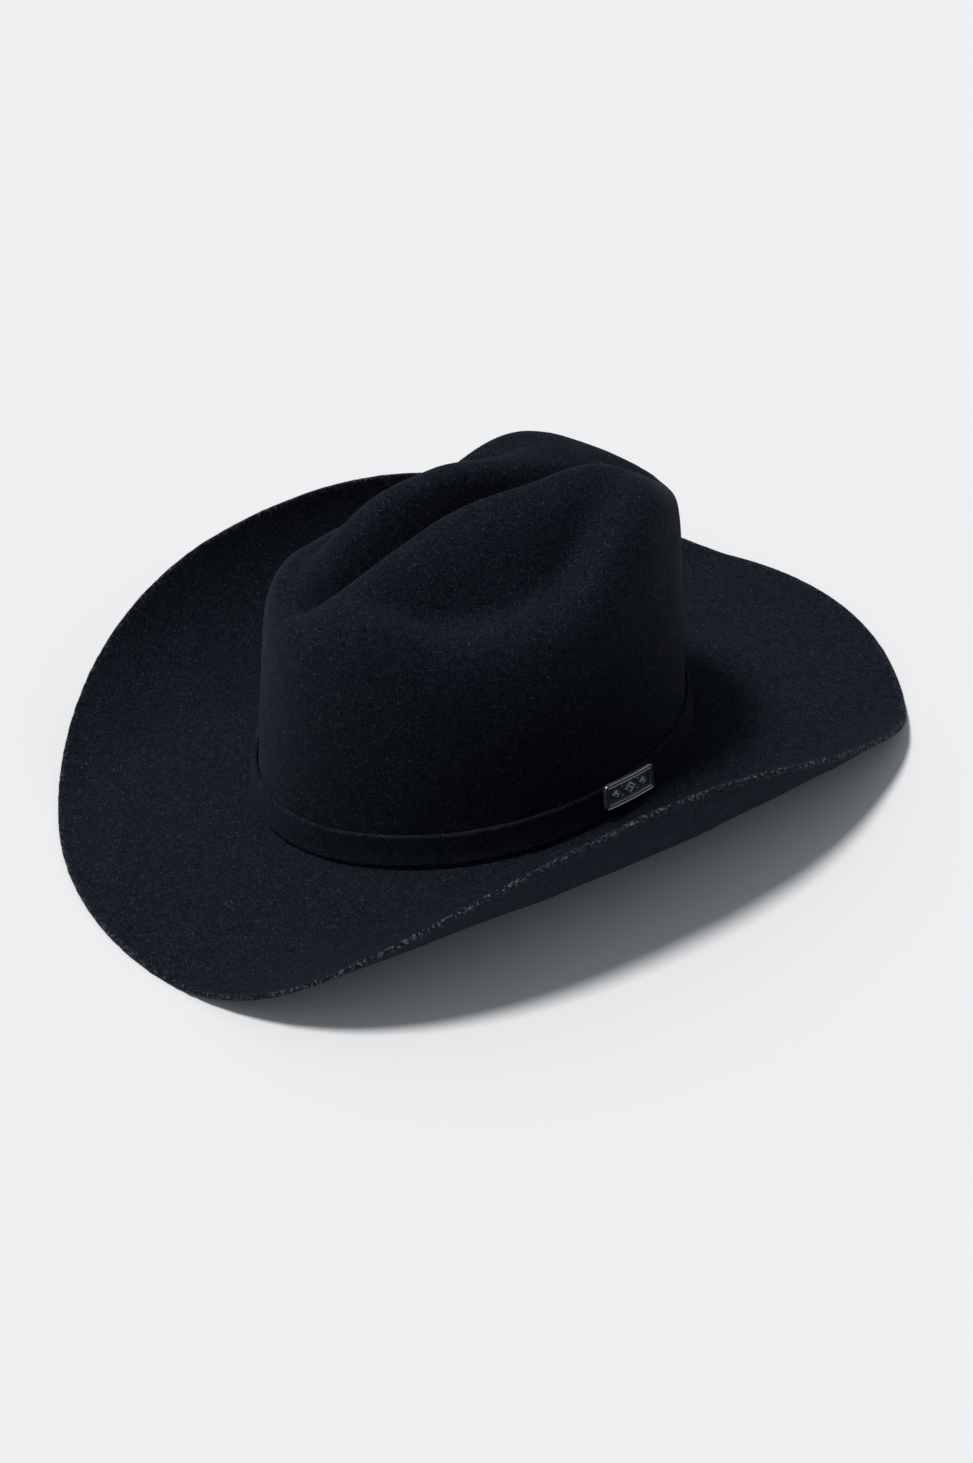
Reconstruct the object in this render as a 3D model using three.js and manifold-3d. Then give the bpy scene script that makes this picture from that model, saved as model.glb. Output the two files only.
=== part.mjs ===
// Cowboy hat: a blocked felt body with a cattleman crease, a self-felt band with a cast
// ornament, and the sweatband and satin lining inside the crown.
//
// Millimetres, +Z up. The hat faces -Y and the wearer's left is +X. Everything is built in the
// hat's own frame, where the crown meets the brim in the plane Z = 0, and the finished group is
// then set down on the ground plane the way the hat lies on a table.

import * as THREE from 'three';
import { NURBSCurve } from 'three/addons/curves/NURBSCurve.js';
import { mergeVertices } from 'three/addons/utils/BufferGeometryUtils.js';
import Module from 'manifold-3d';

const wasm = await Module();
wasm.setup();

// ---------------------------------------------------------------- driving dimensions

// Oval of the crown where it meets the brim, outside of the felt
const HEAD_HALF_LENGTH = 105;
const HEAD_HALF_WIDTH = 82;
const HEAD_CENTRE_Y = 2;

// Brim, as the flat pattern that is cut before it is curled
const BRIM_WIDTH = { front: 91, back: 106.5, left: 97, right: 101 };
const BRIM_FULLNESS = { front: 3.5, back: -10 };
const BRIM_CORNER = { angle: THREE.MathUtils.degToRad(151), spread: 0.23, width: 4.5 };
const CURL_LEFT = { radius: 63, tighten: 0.28 };
const CURL_RIGHT = { radius: 69, tighten: 0.16 };
const CURL_START = 86.4;
const CURL_START_TAPER = 24.9;
const CURL_START_SKEW = 3.9;
const CURL_REACH = 200;
const DIP = { front: 13.5, back: 6, start: 60.5, power: 1.65 };

// The hat lies nose up by this angle, and the brim is pressed level where it rests
const REST_TILT = THREE.MathUtils.degToRad(0.92);
const REST_LEVEL = -7.9;
const REST_BLEND = 0.5;

// Crown: ridge line as control points [half width, height] from front to back
const RIDGE_LINE = [[17.7, 100.4], [17, 105.3], [16, 134], [15.5, 132], [15, 136], [14, 107.9]];
const RIDGE_HALF_LENGTH = 81;
const RIDGE_CENTRE_Y = 7;
const RIDGE_ROUNDNESS = { front: 1.15, back: 0.7 };
const RIDGE_RISE_LEFT = { nose: 10.5, middle: 10.5, back: 7.5, ebb: [-0.1, 0.5] };
const RIDGE_RISE_RIGHT = { nose: 2, middle: 8, back: -8, ebb: [-0.05, 0.75] };
const RIDGE_NOSE = [-0.95, -0.3];
const RIDGE_SPREAD_RIGHT = 9;
const RIDGE_PEAK = 2;
const RIDGE_SHOULDER = { outer: 0.87, inner: 0.82 };
const WALL_LEAN = { side: 0.13, front: 0.13, back: -0.01 };
const CREASE_DEPTH = 28;
const CREASE_HALF_LENGTH = { front: 54, back: 60 };
const CREASE_OPENING = { front: 5, back: 8 };
const DENT = { front: [-75, -20], back: [25, 85] };
const LIP = { height: 99, slope: 0.1, inset: 16 };
const DENT_FLOOR = -1;
const DENT_RIGHT_FORWARD = 12;
const BASE_FILLET = 4.5;

// Material thicknesses and the gaps between neighbours
const FELT = 2.2;
const GAP = 0.35;
const LINING = 0.4;
const LINING_GAP = 0.5;
const LEATHER = 1.1;

// Hat band, with its ends meeting under the ornament
const BAND = { bottom: 2.4, top: 16.4, thickness: 2.1, standoff: 0.45, endGap: 0.6 };

// Ornament: cast plate with two studs through band and felt, held by push nuts
const ORNAMENT_ANGLE = THREE.MathUtils.degToRad(110);
const PLATE = { width: 31, height: 12.6, base: 1.3, border: 1.9, relief: 0.7, corner: 2, centre: 10.4 };
const PLATE_TILT = THREE.MathUtils.degToRad(-5);
const STUD = { radius: 0.8, spacing: 20, height: 10.4, clearance: 0.5, endGap: 0.1 };
const NUT = { radius: 2.4, thickness: 0.4, clearance: 0.3, standoff: 0.95 };

// Sweatband, its reed and tape, its bow and its size label
const SWEATBAND = { bottom: 0.3, top: 56, inset: 3.8, endGap: 0.5 };
const REED = { radius: 0.65, inset: 4.3, height: -1 };
const TAPE = { thickness: 0.5, top: 6 };
const BOW = { height: 7, knot: 4, knotThickness: 2.6, thickness: 1.6, standoff: 1.3 };
const BOW_LOOP = { length: 10, height: 6.5 };
const LABEL = { angle: 196, width: 24, bottom: 30, top: 41, thickness: 0.35 };
const PIPING_RADIUS = 0.75;

// Mesh stations
const AROUND = 48;
const BRIM_STATIONS = [1, 0.95, 0.84, 0.68, 0.48, 0.26];
const WALL_STATIONS = [0, 0.035, 0.08, 0.15, 0.23, 0.31, 0.38, 0.44, 0.475, 0.498];
const TOP_STATIONS = [0.54, 0.57, 0.62, 0.67, 0.71, 0.75, 0.79, 0.83, 0.87, 0.91, 0.955, 1];
const LINING_START = 3;

// ---------------------------------------------------------------- small helpers

const { lerp, smoothstep } = THREE.MathUtils;

function signedPower(value, exponent) {
  return Math.sign(value) * Math.abs(value) ** exponent;
}

// Clamped uniform cubic spline through a list of Vector3 control points
function spline(points) {
  const spans = points.length - 3;
  const inner = Array.from({ length: spans - 1 }, (_, i) => (i + 1) / spans);
  const knots = [0, 0, 0, 0, ...inner, 1, 1, 1, 1];
  return new NURBSCurve(3, knots, points.map((p) => new THREE.Vector4(p.x, p.y, p.z, 1)));
}

function indexed(positions, triangles) {
  const geometry = new THREE.BufferGeometry();
  geometry.setAttribute('position', new THREE.Float32BufferAttribute(positions, 3));
  geometry.setIndex(triangles);
  return geometry;
}

function node(name, geometry, color, roughness, metalness = 0) {
  const material = new THREE.MeshStandardMaterial({ color, roughness, metalness });
  const mesh = new THREE.Mesh(geometry, material);
  mesh.name = name;
  return mesh;
}

function toManifold(geometry) {
  const bare = geometry.clone();
  bare.deleteAttribute('normal');
  bare.deleteAttribute('uv');
  const merged = mergeVertices(bare, 1e-4);
  const vertProperties = new Float32Array(merged.attributes.position.array);
  const triVerts = new Uint32Array(merged.index.array);
  return new wasm.Manifold(new wasm.Mesh({ numProp: 3, vertProperties, triVerts }));
}

function fromManifold(solid) {
  const mesh = solid.getMesh();
  return indexed(Array.from(mesh.vertProperties), Array.from(mesh.triVerts));
}

// Solid through a row of equal closed sections; it is a ring or has a cap at each end
function loft(sections, outline, ring) {
  const count = outline.length;
  const positions = sections.flat().flatMap((p) => [p.x, p.y, p.z]);
  const triangles = [];
  const last = ring ? sections.length : sections.length - 1;
  for (let s = 0; s < last; s++) {
    const next = (s + 1) % sections.length;
    for (let k = 0; k < count; k++) {
      const a = s * count + k;
      const b = s * count + (k + 1) % count;
      const c = next * count + (k + 1) % count;
      const d = next * count + k;
      triangles.push(a, b, c, a, c, d);
    }
  }
  if (!ring) {
    const end = (sections.length - 1) * count;
    const clockwise = THREE.ShapeUtils.isClockWise(outline);
    for (const triangle of THREE.ShapeUtils.triangulateShape(outline, [])) {
      const [i, j, k] = clockwise ? triangle.reverse() : triangle;
      triangles.push(k, j, i, end + i, end + j, end + k);
    }
  }
  return indexed(positions, triangles);
}

// ---------------------------------------------------------------- brim surface

// Point and outward normal on the head oval at angle t, from the front towards the left
function headOval(t) {
  const x = HEAD_HALF_WIDTH * Math.sin(t);
  const y = HEAD_CENTRE_Y - HEAD_HALF_LENGTH * Math.cos(t);
  const normal = new THREE.Vector2(Math.sin(t) / HEAD_HALF_WIDTH, -Math.cos(t) / HEAD_HALF_LENGTH);
  return { x, y, normal: normal.normalize() };
}

function brimWidth(t) {
  const along = Math.cos(t) ** 2;
  const side = Math.sin(t) < 0 ? BRIM_WIDTH.right : BRIM_WIDTH.left;
  const end = Math.cos(t) > 0 ? BRIM_WIDTH.front : BRIM_WIDTH.back;
  const fullness = Math.cos(t) > 0 ? BRIM_FULLNESS.front : BRIM_FULLNESS.back;
  const corner = Math.exp(-(((t - BRIM_CORNER.angle) / BRIM_CORNER.spread) ** 2));
  return lerp(side, end, along) + fullness * Math.sin(2 * t) ** 2 + BRIM_CORNER.width * corner;
}

// The brim never goes below the table: it levels off softly there
function pressLevel(y, z) {
  const level = REST_LEVEL + Math.tan(REST_TILT) * y;
  const above = z - level;
  if (above > REST_BLEND) return z;
  if (above < -REST_BLEND) return level;
  return level + (above + REST_BLEND) ** 2 / (4 * REST_BLEND);
}

// Takes a point of the flat brim pattern to its place on the curled and dipped brim
function curl(u, v) {
  const shape = u < 0 ? CURL_RIGHT : CURL_LEFT;
  const k = v / CURL_REACH;
  const start = CURL_START - CURL_START_TAPER * k ** 2 + CURL_START_SKEW * k;
  const bend = (1 + shape.tighten * k) / shape.radius;
  const past = Math.abs(u) - start;
  const turn = bend * Math.max(past, 0);
  const x = past > 0 ? start + Math.sin(turn) / bend : Math.abs(u);
  const rise = (1 - Math.cos(turn)) / bend;
  const along = Math.max(Math.abs(v) - DIP.start, 0) / (CURL_REACH - DIP.start);
  const dip = (v < 0 ? DIP.front : DIP.back) * along ** DIP.power;
  return new THREE.Vector3(Math.sign(u) * x, v, pressLevel(v, rise - dip));
}

// Brim surface at angle t and distance out from the head oval
function brimPoint(t, out) {
  const { x, y, normal } = headOval(t);
  return curl(x + normal.x * out, y + normal.y * out);
}

// ---------------------------------------------------------------- crown surface

const ridgeCurve = spline(RIDGE_LINE.map(([width, height]) => new THREE.Vector3(width, 0, height)));

function ridgeAt(along) {
  return ridgeCurve.getPoint(THREE.MathUtils.clamp((along + 1) / 2, 0, 1));
}

// Profile of the crown from the brim up the wall, over the ridge and down into the crease
function meridian(t) {
  const c = Math.cos(t);
  const s = Math.sin(t);
  const { x, y, normal } = headOval(t);
  const foot = curl(x, y);

  const roundness = lerp(RIDGE_ROUNDNESS.back, RIDGE_ROUNDNESS.front, smoothstep(c, -1, 1));
  const along = -signedPower(c, roundness);
  const ridge = ridgeAt(along);
  const rise = s < 0 ? RIDGE_RISE_RIGHT : RIDGE_RISE_LEFT;
  const towardBack = lerp(rise.middle, rise.back, smoothstep(along, ...rise.ebb));
  const change = lerp(rise.nose, towardBack, smoothstep(along, ...RIDGE_NOSE));
  const height = ridge.z + change * smoothstep(Math.abs(s), 0, 0.85);
  const spread = s < 0 ? RIDGE_SPREAD_RIGHT * smoothstep(-along, 0, 0.7) : 0;
  const crestX = (ridge.x + spread) * signedPower(s, roundness);
  const crestY = RIDGE_CENTRE_Y + RIDGE_HALF_LENGTH * along;
  const inward = new THREE.Vector2(crestX - x, crestY - y);
  const reach = inward.length();
  inward.normalize();

  const endLean = c > 0 ? WALL_LEAN.front : WALL_LEAN.back;
  const lean = WALL_LEAN.side * s ** 2 + endLean * c ** 2;
  const dentY = crestY + (s < 0 ? DENT_RIGHT_FORWARD : 0);
  const inDent = smoothstep(dentY, ...DENT.front) * (1 - smoothstep(dentY, ...DENT.back));
  const dent = inDent * Math.abs(s);
  const lip = LIP.height + LIP.slope * crestY;
  const floor = lip + DENT_FLOOR;
  const run = reach - lean * height;
  const shoulder = lerp(floor, height, RIDGE_SHOULDER.outer);

  const creaseHalf = c > 0 ? CREASE_HALF_LENGTH.front : CREASE_HALF_LENGTH.back;
  const creaseY = RIDGE_CENTRE_Y - creaseHalf * c;
  const creaseRise = (c > 0 ? CREASE_OPENING.front : CREASE_OPENING.back) * c ** 2;
  const creaseZ = ridgeAt((creaseY - RIDGE_CENTRE_Y) / RIDGE_HALF_LENGTH).z - CREASE_DEPTH + creaseRise;

  const at = (distance, z) => new THREE.Vector3(x + inward.x * distance, y + inward.y * distance, z);
  const blend = (plain, dented) => lerp(plain, dented, dent);
  const between = (share, z) => new THREE.Vector3(lerp(crestX, 0, share), lerp(crestY, creaseY, share), z);
  return spline([
    brimPoint(t, BASE_FILLET),
    new THREE.Vector3(x + normal.x, y + normal.y, foot.z),
    at(lean * 0.1 * height, foot.z + 0.1 * height),
    at(lean * 0.35 * height, 0.35 * height),
    at(blend(lean * 0.6 * height, LIP.inset * 0.5), blend(0.6 * height, 0.6 * lip)),
    at(blend(lean * 0.82 * height, LIP.inset * 0.68), blend(0.84 * height, 0.82 * lip)),
    at(blend(lean * height + 0.05 * run, LIP.inset), blend(height, lip)),
    at(blend(lean * height + 0.3 * run, LIP.inset + 0.25 * run), blend(1.045 * height, 1.05 * lip)),
    at(blend(lean * height + 0.55 * run, LIP.inset + 0.5 * run), blend(1.05 * height, floor)),
    at(blend(lean * height + 0.8 * run, 0.75 * reach), blend(1.04 * height, shoulder)),
    new THREE.Vector3(crestX, crestY, height + RIDGE_PEAK),
    between(0.4, lerp(creaseZ, height, RIDGE_SHOULDER.inner)),
    between(0.78, creaseZ),
    between(1, creaseZ),
  ]);
}

// ---------------------------------------------------------------- felt skin and its shells

const angles = Array.from({ length: AROUND }, (_, i) => 2 * Math.PI * i / AROUND);
const meridians = angles.map(meridian);

// Rows of points from the brim's edge to the crease; left and right meet along the crease
function skinRows() {
  const rows = BRIM_STATIONS.map((station) => angles.map((t) => {
    return brimPoint(t, lerp(BASE_FILLET, brimWidth(t), station));
  }));
  for (const station of [...WALL_STATIONS, ...TOP_STATIONS]) {
    rows.push(meridians.map((curve) => curve.getPoint(station)));
  }
  return rows;
}

// One vertex number for each point of the skin, with the two sides of the crease shared
function skinNumber(row, i) {
  const step = (i + AROUND) % AROUND;
  const mirrored = row === LAST_ROW ? Math.min(step, (AROUND - step) % AROUND) : step;
  return row * AROUND + mirrored;
}

const rows = skinRows();
const LAST_ROW = rows.length - 1;
const FIRST_CROWN_ROW = BRIM_STATIONS.length;
const SIDE_END_ROW = FIRST_CROWN_ROW + WALL_STATIONS.length - 1;

// Triangles of the skin between two rows, facing out
function skinTriangles(from, to, number) {
  const triangles = [];
  const add = (a, b, c) => {
    if (a !== b && b !== c && c !== a) triangles.push(a, b, c);
  };
  for (let row = from; row < to; row++) {
    for (let i = 0; i < AROUND; i++) {
      const [a, b] = [number(row, i), number(row, i + 1)];
      const [c, d] = [number(row + 1, i + 1), number(row + 1, i)];
      add(a, b, c);
      add(a, c, d);
    }
  }
  return triangles;
}

// Outward normal at each point of the skin
function skinNormals() {
  const points = rows.flat().flatMap((p) => [p.x, p.y, p.z]);
  const geometry = indexed(points, skinTriangles(0, LAST_ROW, skinNumber));
  geometry.computeVertexNormals();
  return geometry.attributes.normal;
}

const normals = skinNormals();

function skinPoint(row, i, depth) {
  const number = skinNumber(row, i);
  const source = rows[row][number % AROUND];
  const normal = new THREE.Vector3().fromBufferAttribute(normals, number);
  return source.clone().addScaledVector(normal, -depth);
}

// Closed solid between two depths below the skin, from one row to another
function shell(from, to, outerDepth, innerDepth) {
  const perSide = (to - from + 1) * AROUND;
  const positions = [];
  for (const depth of [outerDepth, innerDepth]) {
    for (let row = from; row <= to; row++) {
      for (let i = 0; i < AROUND; i++) positions.push(...skinPoint(row, i, depth).toArray());
    }
  }
  const outer = (row, i) => skinNumber(row, i) - from * AROUND;
  const inner = (row, i) => outer(row, i) + perSide;
  const triangles = skinTriangles(from, to, outer);
  const back = skinTriangles(from, to, inner);
  for (let k = 0; k < back.length; k += 3) triangles.push(back[k], back[k + 2], back[k + 1]);
  for (let i = 0; i < AROUND; i++) {
    triangles.push(outer(from, i), inner(from, i + 1), outer(from, i + 1));
    triangles.push(outer(from, i), inner(from, i), inner(from, i + 1));
    if (to === LAST_ROW) continue;
    triangles.push(outer(to, i), outer(to, i + 1), inner(to, i + 1));
    triangles.push(outer(to, i), inner(to, i + 1), inner(to, i));
  }
  return mergeVertices(indexed(positions, triangles), 1e-5);
}

// ---------------------------------------------------------------- places on the crown wall

// Outer face of the crown wall at angle t and height above its foot
function wallAt(t, height) {
  const curve = meridian(t);
  const { normal } = headOval(t);
  const foot = curve.getPoint(0).z;
  let low = 0;
  let high = 0.5;
  for (let i = 0; i < 24; i++) {
    const middle = (low + high) / 2;
    if (curve.getPoint(middle).z - foot < height) low = middle;
    else high = middle;
  }
  return { point: curve.getPoint(low), normal: new THREE.Vector3(normal.x, normal.y, 0) };
}

// A point on the band side of the wall, out from the felt
function outsideWall(t, out, height) {
  const { point, normal } = wallAt(t, height);
  return point.addScaledVector(normal, out);
}

// A point on the head side of the wall, in from the felt's outer face. Near the foot the
// straight part of the wall is carried on down, past the curve into the brim.
function insideWall(t, inset, height) {
  const [low, high] = [9, 20];
  if (height >= low) return outsideWall(t, -inset, height);
  const start = outsideWall(t, -inset, low);
  const slope = outsideWall(t, -inset, high).sub(start).divideScalar(high - low);
  return start.addScaledVector(slope, height - low);
}

// Angles of a strip that runs once round the oval and leaves a gap at its ends
function stripAngles(joint, gap) {
  const half = gap / 2 / HEAD_HALF_LENGTH;
  const inner = angles.map((t) => t + (t > joint + half ? 0 : 2 * Math.PI));
  const kept = inner.filter((t) => t > joint + half && t < joint + 2 * Math.PI - half);
  kept.sort((a, b) => a - b);
  const clear = kept.filter((t) => t - joint > 0.02 && joint + 2 * Math.PI - t > 0.02);
  return [joint + half, ...clear, joint + 2 * Math.PI - half];
}

// Strip with a closed outline of [inset, height] points, carried along the given angles
function wallStrip(outline, along, ring, place = insideWall) {
  const flat = outline.map(([inset, height]) => new THREE.Vector2(inset, height));
  const sections = along.map((t) => outline.map(([inset, height]) => place(t, inset, height)));
  return loft(sections, flat, ring);
}

function circleOutline(inset, height, radius, sides) {
  return Array.from({ length: sides }, (_, i) => {
    const turn = 2 * Math.PI * i / sides;
    return [inset + radius * Math.cos(turn), height + radius * Math.sin(turn)];
  });
}

// Frame on the leaning wall at angle t: X along the band, Y up the wall, Z out of it
function wallFrame(t, out, height) {
  const { point, normal } = wallAt(t, height);
  const up = wallAt(t, height + 4).point.sub(wallAt(t, height - 4).point).normalize();
  const along = up.clone().cross(normal).normalize();
  const away = along.clone().cross(up);
  return new THREE.Matrix4().makeBasis(along, up, away).setPosition(point.addScaledVector(away, out));
}

// ---------------------------------------------------------------- ornament

const PLATE_OUT = BAND.standoff + BAND.thickness + 2 * GAP;
const plateFrame = wallFrame(ORNAMENT_ANGLE, PLATE_OUT, PLATE.centre);
plateFrame.multiply(new THREE.Matrix4().makeRotationZ(PLATE_TILT));

function roundedRectangle(width, height, radius) {
  const [x, y] = [width / 2 - radius, height / 2 - radius];
  const shape = new THREE.Shape();
  shape.absarc(x, y, radius, 0, Math.PI / 2);
  shape.absarc(-x, y, radius, Math.PI / 2, Math.PI);
  shape.absarc(-x, -y, radius, Math.PI, 1.5 * Math.PI);
  shape.absarc(x, -y, radius, 1.5 * Math.PI, 2 * Math.PI);
  return shape;
}

function diamond(x, halfWidth, halfHeight) {
  const corners = [[halfWidth, 0], [0, halfHeight], [-halfWidth, 0], [0, -halfHeight]];
  return new THREE.Shape(corners.map(([dx, dy]) => new THREE.Vector2(x + dx, dy)));
}

function extrude(shape, from, depth) {
  const geometry = new THREE.ExtrudeGeometry(shape, { depth, bevelEnabled: false, curveSegments: 3 });
  return toManifold(geometry.translate(0, 0, from));
}

// Centres of the two studs in the plate's frame
function studPlaces() {
  const y = STUD.height - PLATE.centre;
  return [-STUD.spacing / 2, STUD.spacing / 2].map((x) => new THREE.Vector2(x, y));
}

function studCylinder(place, radius, from, to) {
  const geometry = new THREE.CylinderGeometry(radius, radius, to - from, 12);
  geometry.rotateX(Math.PI / 2);
  return toManifold(geometry.translate(place.x, place.y, (from + to) / 2));
}

// Plate with a raised border round three raised diamonds, and the studs at its back
function ornamentPlate() {
  const outer = roundedRectangle(PLATE.width, PLATE.height, PLATE.corner);
  const frame = outer.clone();
  frame.holes.push(roundedRectangle(PLATE.width - 2 * PLATE.border, PLATE.height - 2 * PLATE.border, 0.8));
  let solid = extrude(outer, 0, PLATE.base).add(extrude(frame, PLATE.base - 0.2, PLATE.relief + 0.2));
  for (const [x, halfWidth, halfHeight] of [[-8.5, 2.8, 2.4], [0, 4, 3.6], [8.5, 2.8, 2.4]]) {
    solid = solid.add(extrude(diamond(x, halfWidth, halfHeight), PLATE.base - 0.2, PLATE.relief + 0.1));
  }
  const reach = PLATE_OUT + SWEATBAND.inset - STUD.endGap;
  for (const place of studPlaces()) {
    solid = solid.add(studCylinder(place, STUD.radius, -reach, 0.3));
  }
  return fromManifold(solid);
}

// Bores the stud holes through a piece
function boreForStuds(geometry) {
  let solid = toManifold(geometry);
  for (const place of studPlaces()) {
    const drill = fromManifold(studCylinder(place, STUD.radius + STUD.clearance, -12, 2));
    solid = solid.subtract(toManifold(drill.applyMatrix4(plateFrame)));
  }
  return fromManifold(solid);
}

// Push nut on a stud, against the inside of the felt
function ornamentNut(place) {
  const bore = STUD.radius + NUT.clearance;
  const top = NUT.thickness;
  const profile = [[bore, 0], [NUT.radius, 0], [NUT.radius, top], [bore, top], [bore, 0]];
  const nut = new THREE.LatheGeometry(profile.map(([x, y]) => new THREE.Vector2(x, y)), 16);
  nut.deleteAttribute('normal');
  nut.deleteAttribute('uv');
  nut.rotateX(Math.PI / 2);
  nut.translate(place.x, place.y, -PLATE_OUT - FELT - NUT.standoff - NUT.thickness);
  return mergeVertices(nut.applyMatrix4(plateFrame), 1e-4);
}

// ---------------------------------------------------------------- band, sweatband and lining

function hatBand() {
  const [near, far] = [BAND.standoff, BAND.standoff + BAND.thickness];
  const outline = [[near, BAND.top], [far, BAND.top], [far, BAND.bottom], [near, BAND.bottom]];
  const along = stripAngles(ORNAMENT_ANGLE, BAND.endGap);
  return boreForStuds(wallStrip(outline, along, false, outsideWall));
}

function sweatband() {
  const [near, far] = [SWEATBAND.inset, SWEATBAND.inset + LEATHER];
  const heights = [SWEATBAND.bottom, 20, 38, SWEATBAND.top];
  const outline = [
    ...heights.map((height) => [near, height]).reverse(),
    ...heights.map((height) => [far, height]),
  ];
  return wallStrip(outline, stripAngles(Math.PI, SWEATBAND.endGap), false);
}

function sweatbandReed() {
  return wallStrip(circleOutline(REED.inset, REED.height, REED.radius, 6), angles, true);
}

// Tape folded round the reed, with its tail up behind the leather
function reedTape() {
  const inner = REED.radius + GAP;
  const outer = inner + TAPE.thickness;
  const arc = (radius, share) => {
    const turn = Math.PI * (1 + share);
    return [REED.inset + radius * Math.cos(turn), REED.height + radius * Math.sin(turn)];
  };
  const shares = [0, 0.25, 0.5, 0.75, 1];
  const outline = [
    [REED.inset - outer, TAPE.top],
    ...shares.map((share) => arc(outer, share)),
    ...shares.map((share) => arc(inner, 1 - share)),
    [REED.inset - inner, TAPE.top],
  ];
  return wallStrip(outline, angles, true);
}

// Flat ribbon bow sewn over the sweatband's joint
function sweatbandBow() {
  const lens = (side) => {
    const [start, end] = [side, side * (BOW.knot / 2 + BOW_LOOP.length)];
    const rise = BOW_LOOP.height / 2;
    const shape = new THREE.Shape();
    shape.moveTo(start, -0.8);
    shape.bezierCurveTo(end * 0.5, -rise, end * 0.8, -1.2 * rise, end, -0.5 * rise);
    shape.lineTo(end, 0.5 * rise);
    shape.bezierCurveTo(end * 0.8, 1.2 * rise, end * 0.5, rise, start, 0.8);
    return shape;
  };
  const knot = roundedRectangle(BOW.knot, BOW.knot, 1);
  let solid = extrude(knot, 0, BOW.knotThickness);
  for (const side of [-1, 1]) solid = solid.add(extrude(lens(side), 0.1, BOW.thickness));
  const inset = SWEATBAND.inset + LEATHER + GAP;
  const frame = wallFrame(Math.PI, -inset - BOW.standoff, BOW.height);
  frame.multiply(new THREE.Matrix4().makeRotationY(Math.PI));
  return fromManifold(solid).applyMatrix4(frame);
}

function sizeLabel() {
  const near = SWEATBAND.inset + LEATHER + GAP;
  const far = near + LABEL.thickness;
  const outline = [[near, LABEL.bottom], [far, LABEL.bottom], [far, LABEL.top], [near, LABEL.top]];
  const centre = THREE.MathUtils.degToRad(LABEL.angle);
  const half = LABEL.width / 2 / HEAD_HALF_WIDTH;
  const along = Array.from({ length: 7 }, (_, i) => centre + half * (i / 3 - 1));
  return wallStrip(outline, along, false);
}

// Cord in the seam between the lining's side and its tip
function liningPiping() {
  const depth = FELT + LINING_GAP + PIPING_RADIUS;
  const corners = Array.from({ length: 6 }, (_, k) => -k * Math.PI / 3);
  const sections = angles.map((_, i) => {
    const [below, above] = [skinPoint(SIDE_END_ROW, i, depth), skinPoint(SIDE_END_ROW + 1, i, depth)];
    const centre = below.clone().lerp(above, 0.5);
    const climb = above.sub(below).normalize();
    const normal = new THREE.Vector3().fromBufferAttribute(normals, skinNumber(SIDE_END_ROW, i));
    const across = normal.addScaledVector(climb, -normal.dot(climb)).normalize();
    return corners.map((turn) => centre.clone()
      .addScaledVector(climb, PIPING_RADIUS * Math.sin(turn))
      .addScaledVector(across, PIPING_RADIUS * Math.cos(turn)));
  });
  return loft(sections, corners.map((turn) => new THREE.Vector2(Math.cos(turn), Math.sin(turn))), true);
}

// ---------------------------------------------------------------- the hat

const BLACK_FELT = 0x15171c;
const BLACK_LEATHER = 0x1a1614;
const BLACK_SATIN = 0x101116;
const BLACK_RIBBON = 0x14141a;
const CAST_METAL = 0x8f9391;
const STEEL = 0xb0b2b4;
const WHITE_PLASTIC = 0xd8d8d2;
const LABEL_CLOTH = 0xe4e2da;

const liningDepths = [FELT + LINING_GAP, FELT + LINING_GAP + LINING];
const [frontStud, rearStud] = studPlaces();

const hat = new THREE.Group();
hat.add(
  node('felt_body', boreForStuds(shell(0, LAST_ROW, 0, FELT)), BLACK_FELT, 0.95),
  node('hat_band', hatBand(), BLACK_FELT, 0.95),
  node('ornament_plate', ornamentPlate().applyMatrix4(plateFrame), CAST_METAL, 0.4, 0.9),
  node('ornament_nut_front', ornamentNut(frontStud), STEEL, 0.35, 1),
  node('ornament_nut_rear', ornamentNut(rearStud), STEEL, 0.35, 1),
  node('sweatband', sweatband(), BLACK_LEATHER, 0.55),
  node('sweatband_reed', sweatbandReed(), WHITE_PLASTIC, 0.4),
  node('reed_tape', reedTape(), BLACK_RIBBON, 0.85),
  node('sweatband_bow', sweatbandBow(), BLACK_RIBBON, 0.6),
  node('size_label', sizeLabel(), LABEL_CLOTH, 0.85),
  node('lining_side', shell(FIRST_CROWN_ROW + LINING_START, SIDE_END_ROW, ...liningDepths), BLACK_SATIN, 0.4),
  node('lining_tip', shell(SIDE_END_ROW + 1, LAST_ROW, ...liningDepths), BLACK_SATIN, 0.4),
  node('lining_piping', liningPiping(), BLACK_RIBBON, 0.5),
);

// Set the hat down on the ground plane, centred over the origin
hat.rotation.x = -REST_TILT;
hat.updateMatrixWorld(true);
const bounds = new THREE.Box3().setFromObject(hat, true);
const centre = bounds.getCenter(new THREE.Vector3());
hat.position.set(-centre.x, -centre.y, -bounds.min.z);

export default hat;
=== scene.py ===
"""Cowboy hat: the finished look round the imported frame.

The surfaces are worked out in the hat's own frame, in millimetres: the crown meets the brim in
the plane Z = 0, the hat faces -Y and the wearer's left is +X. place() takes points from there to
the row frame, in metres, where the hat lies on the floor.
"""

import math

import bpy
import numpy as np
from mathutils import Matrix, Vector


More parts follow.
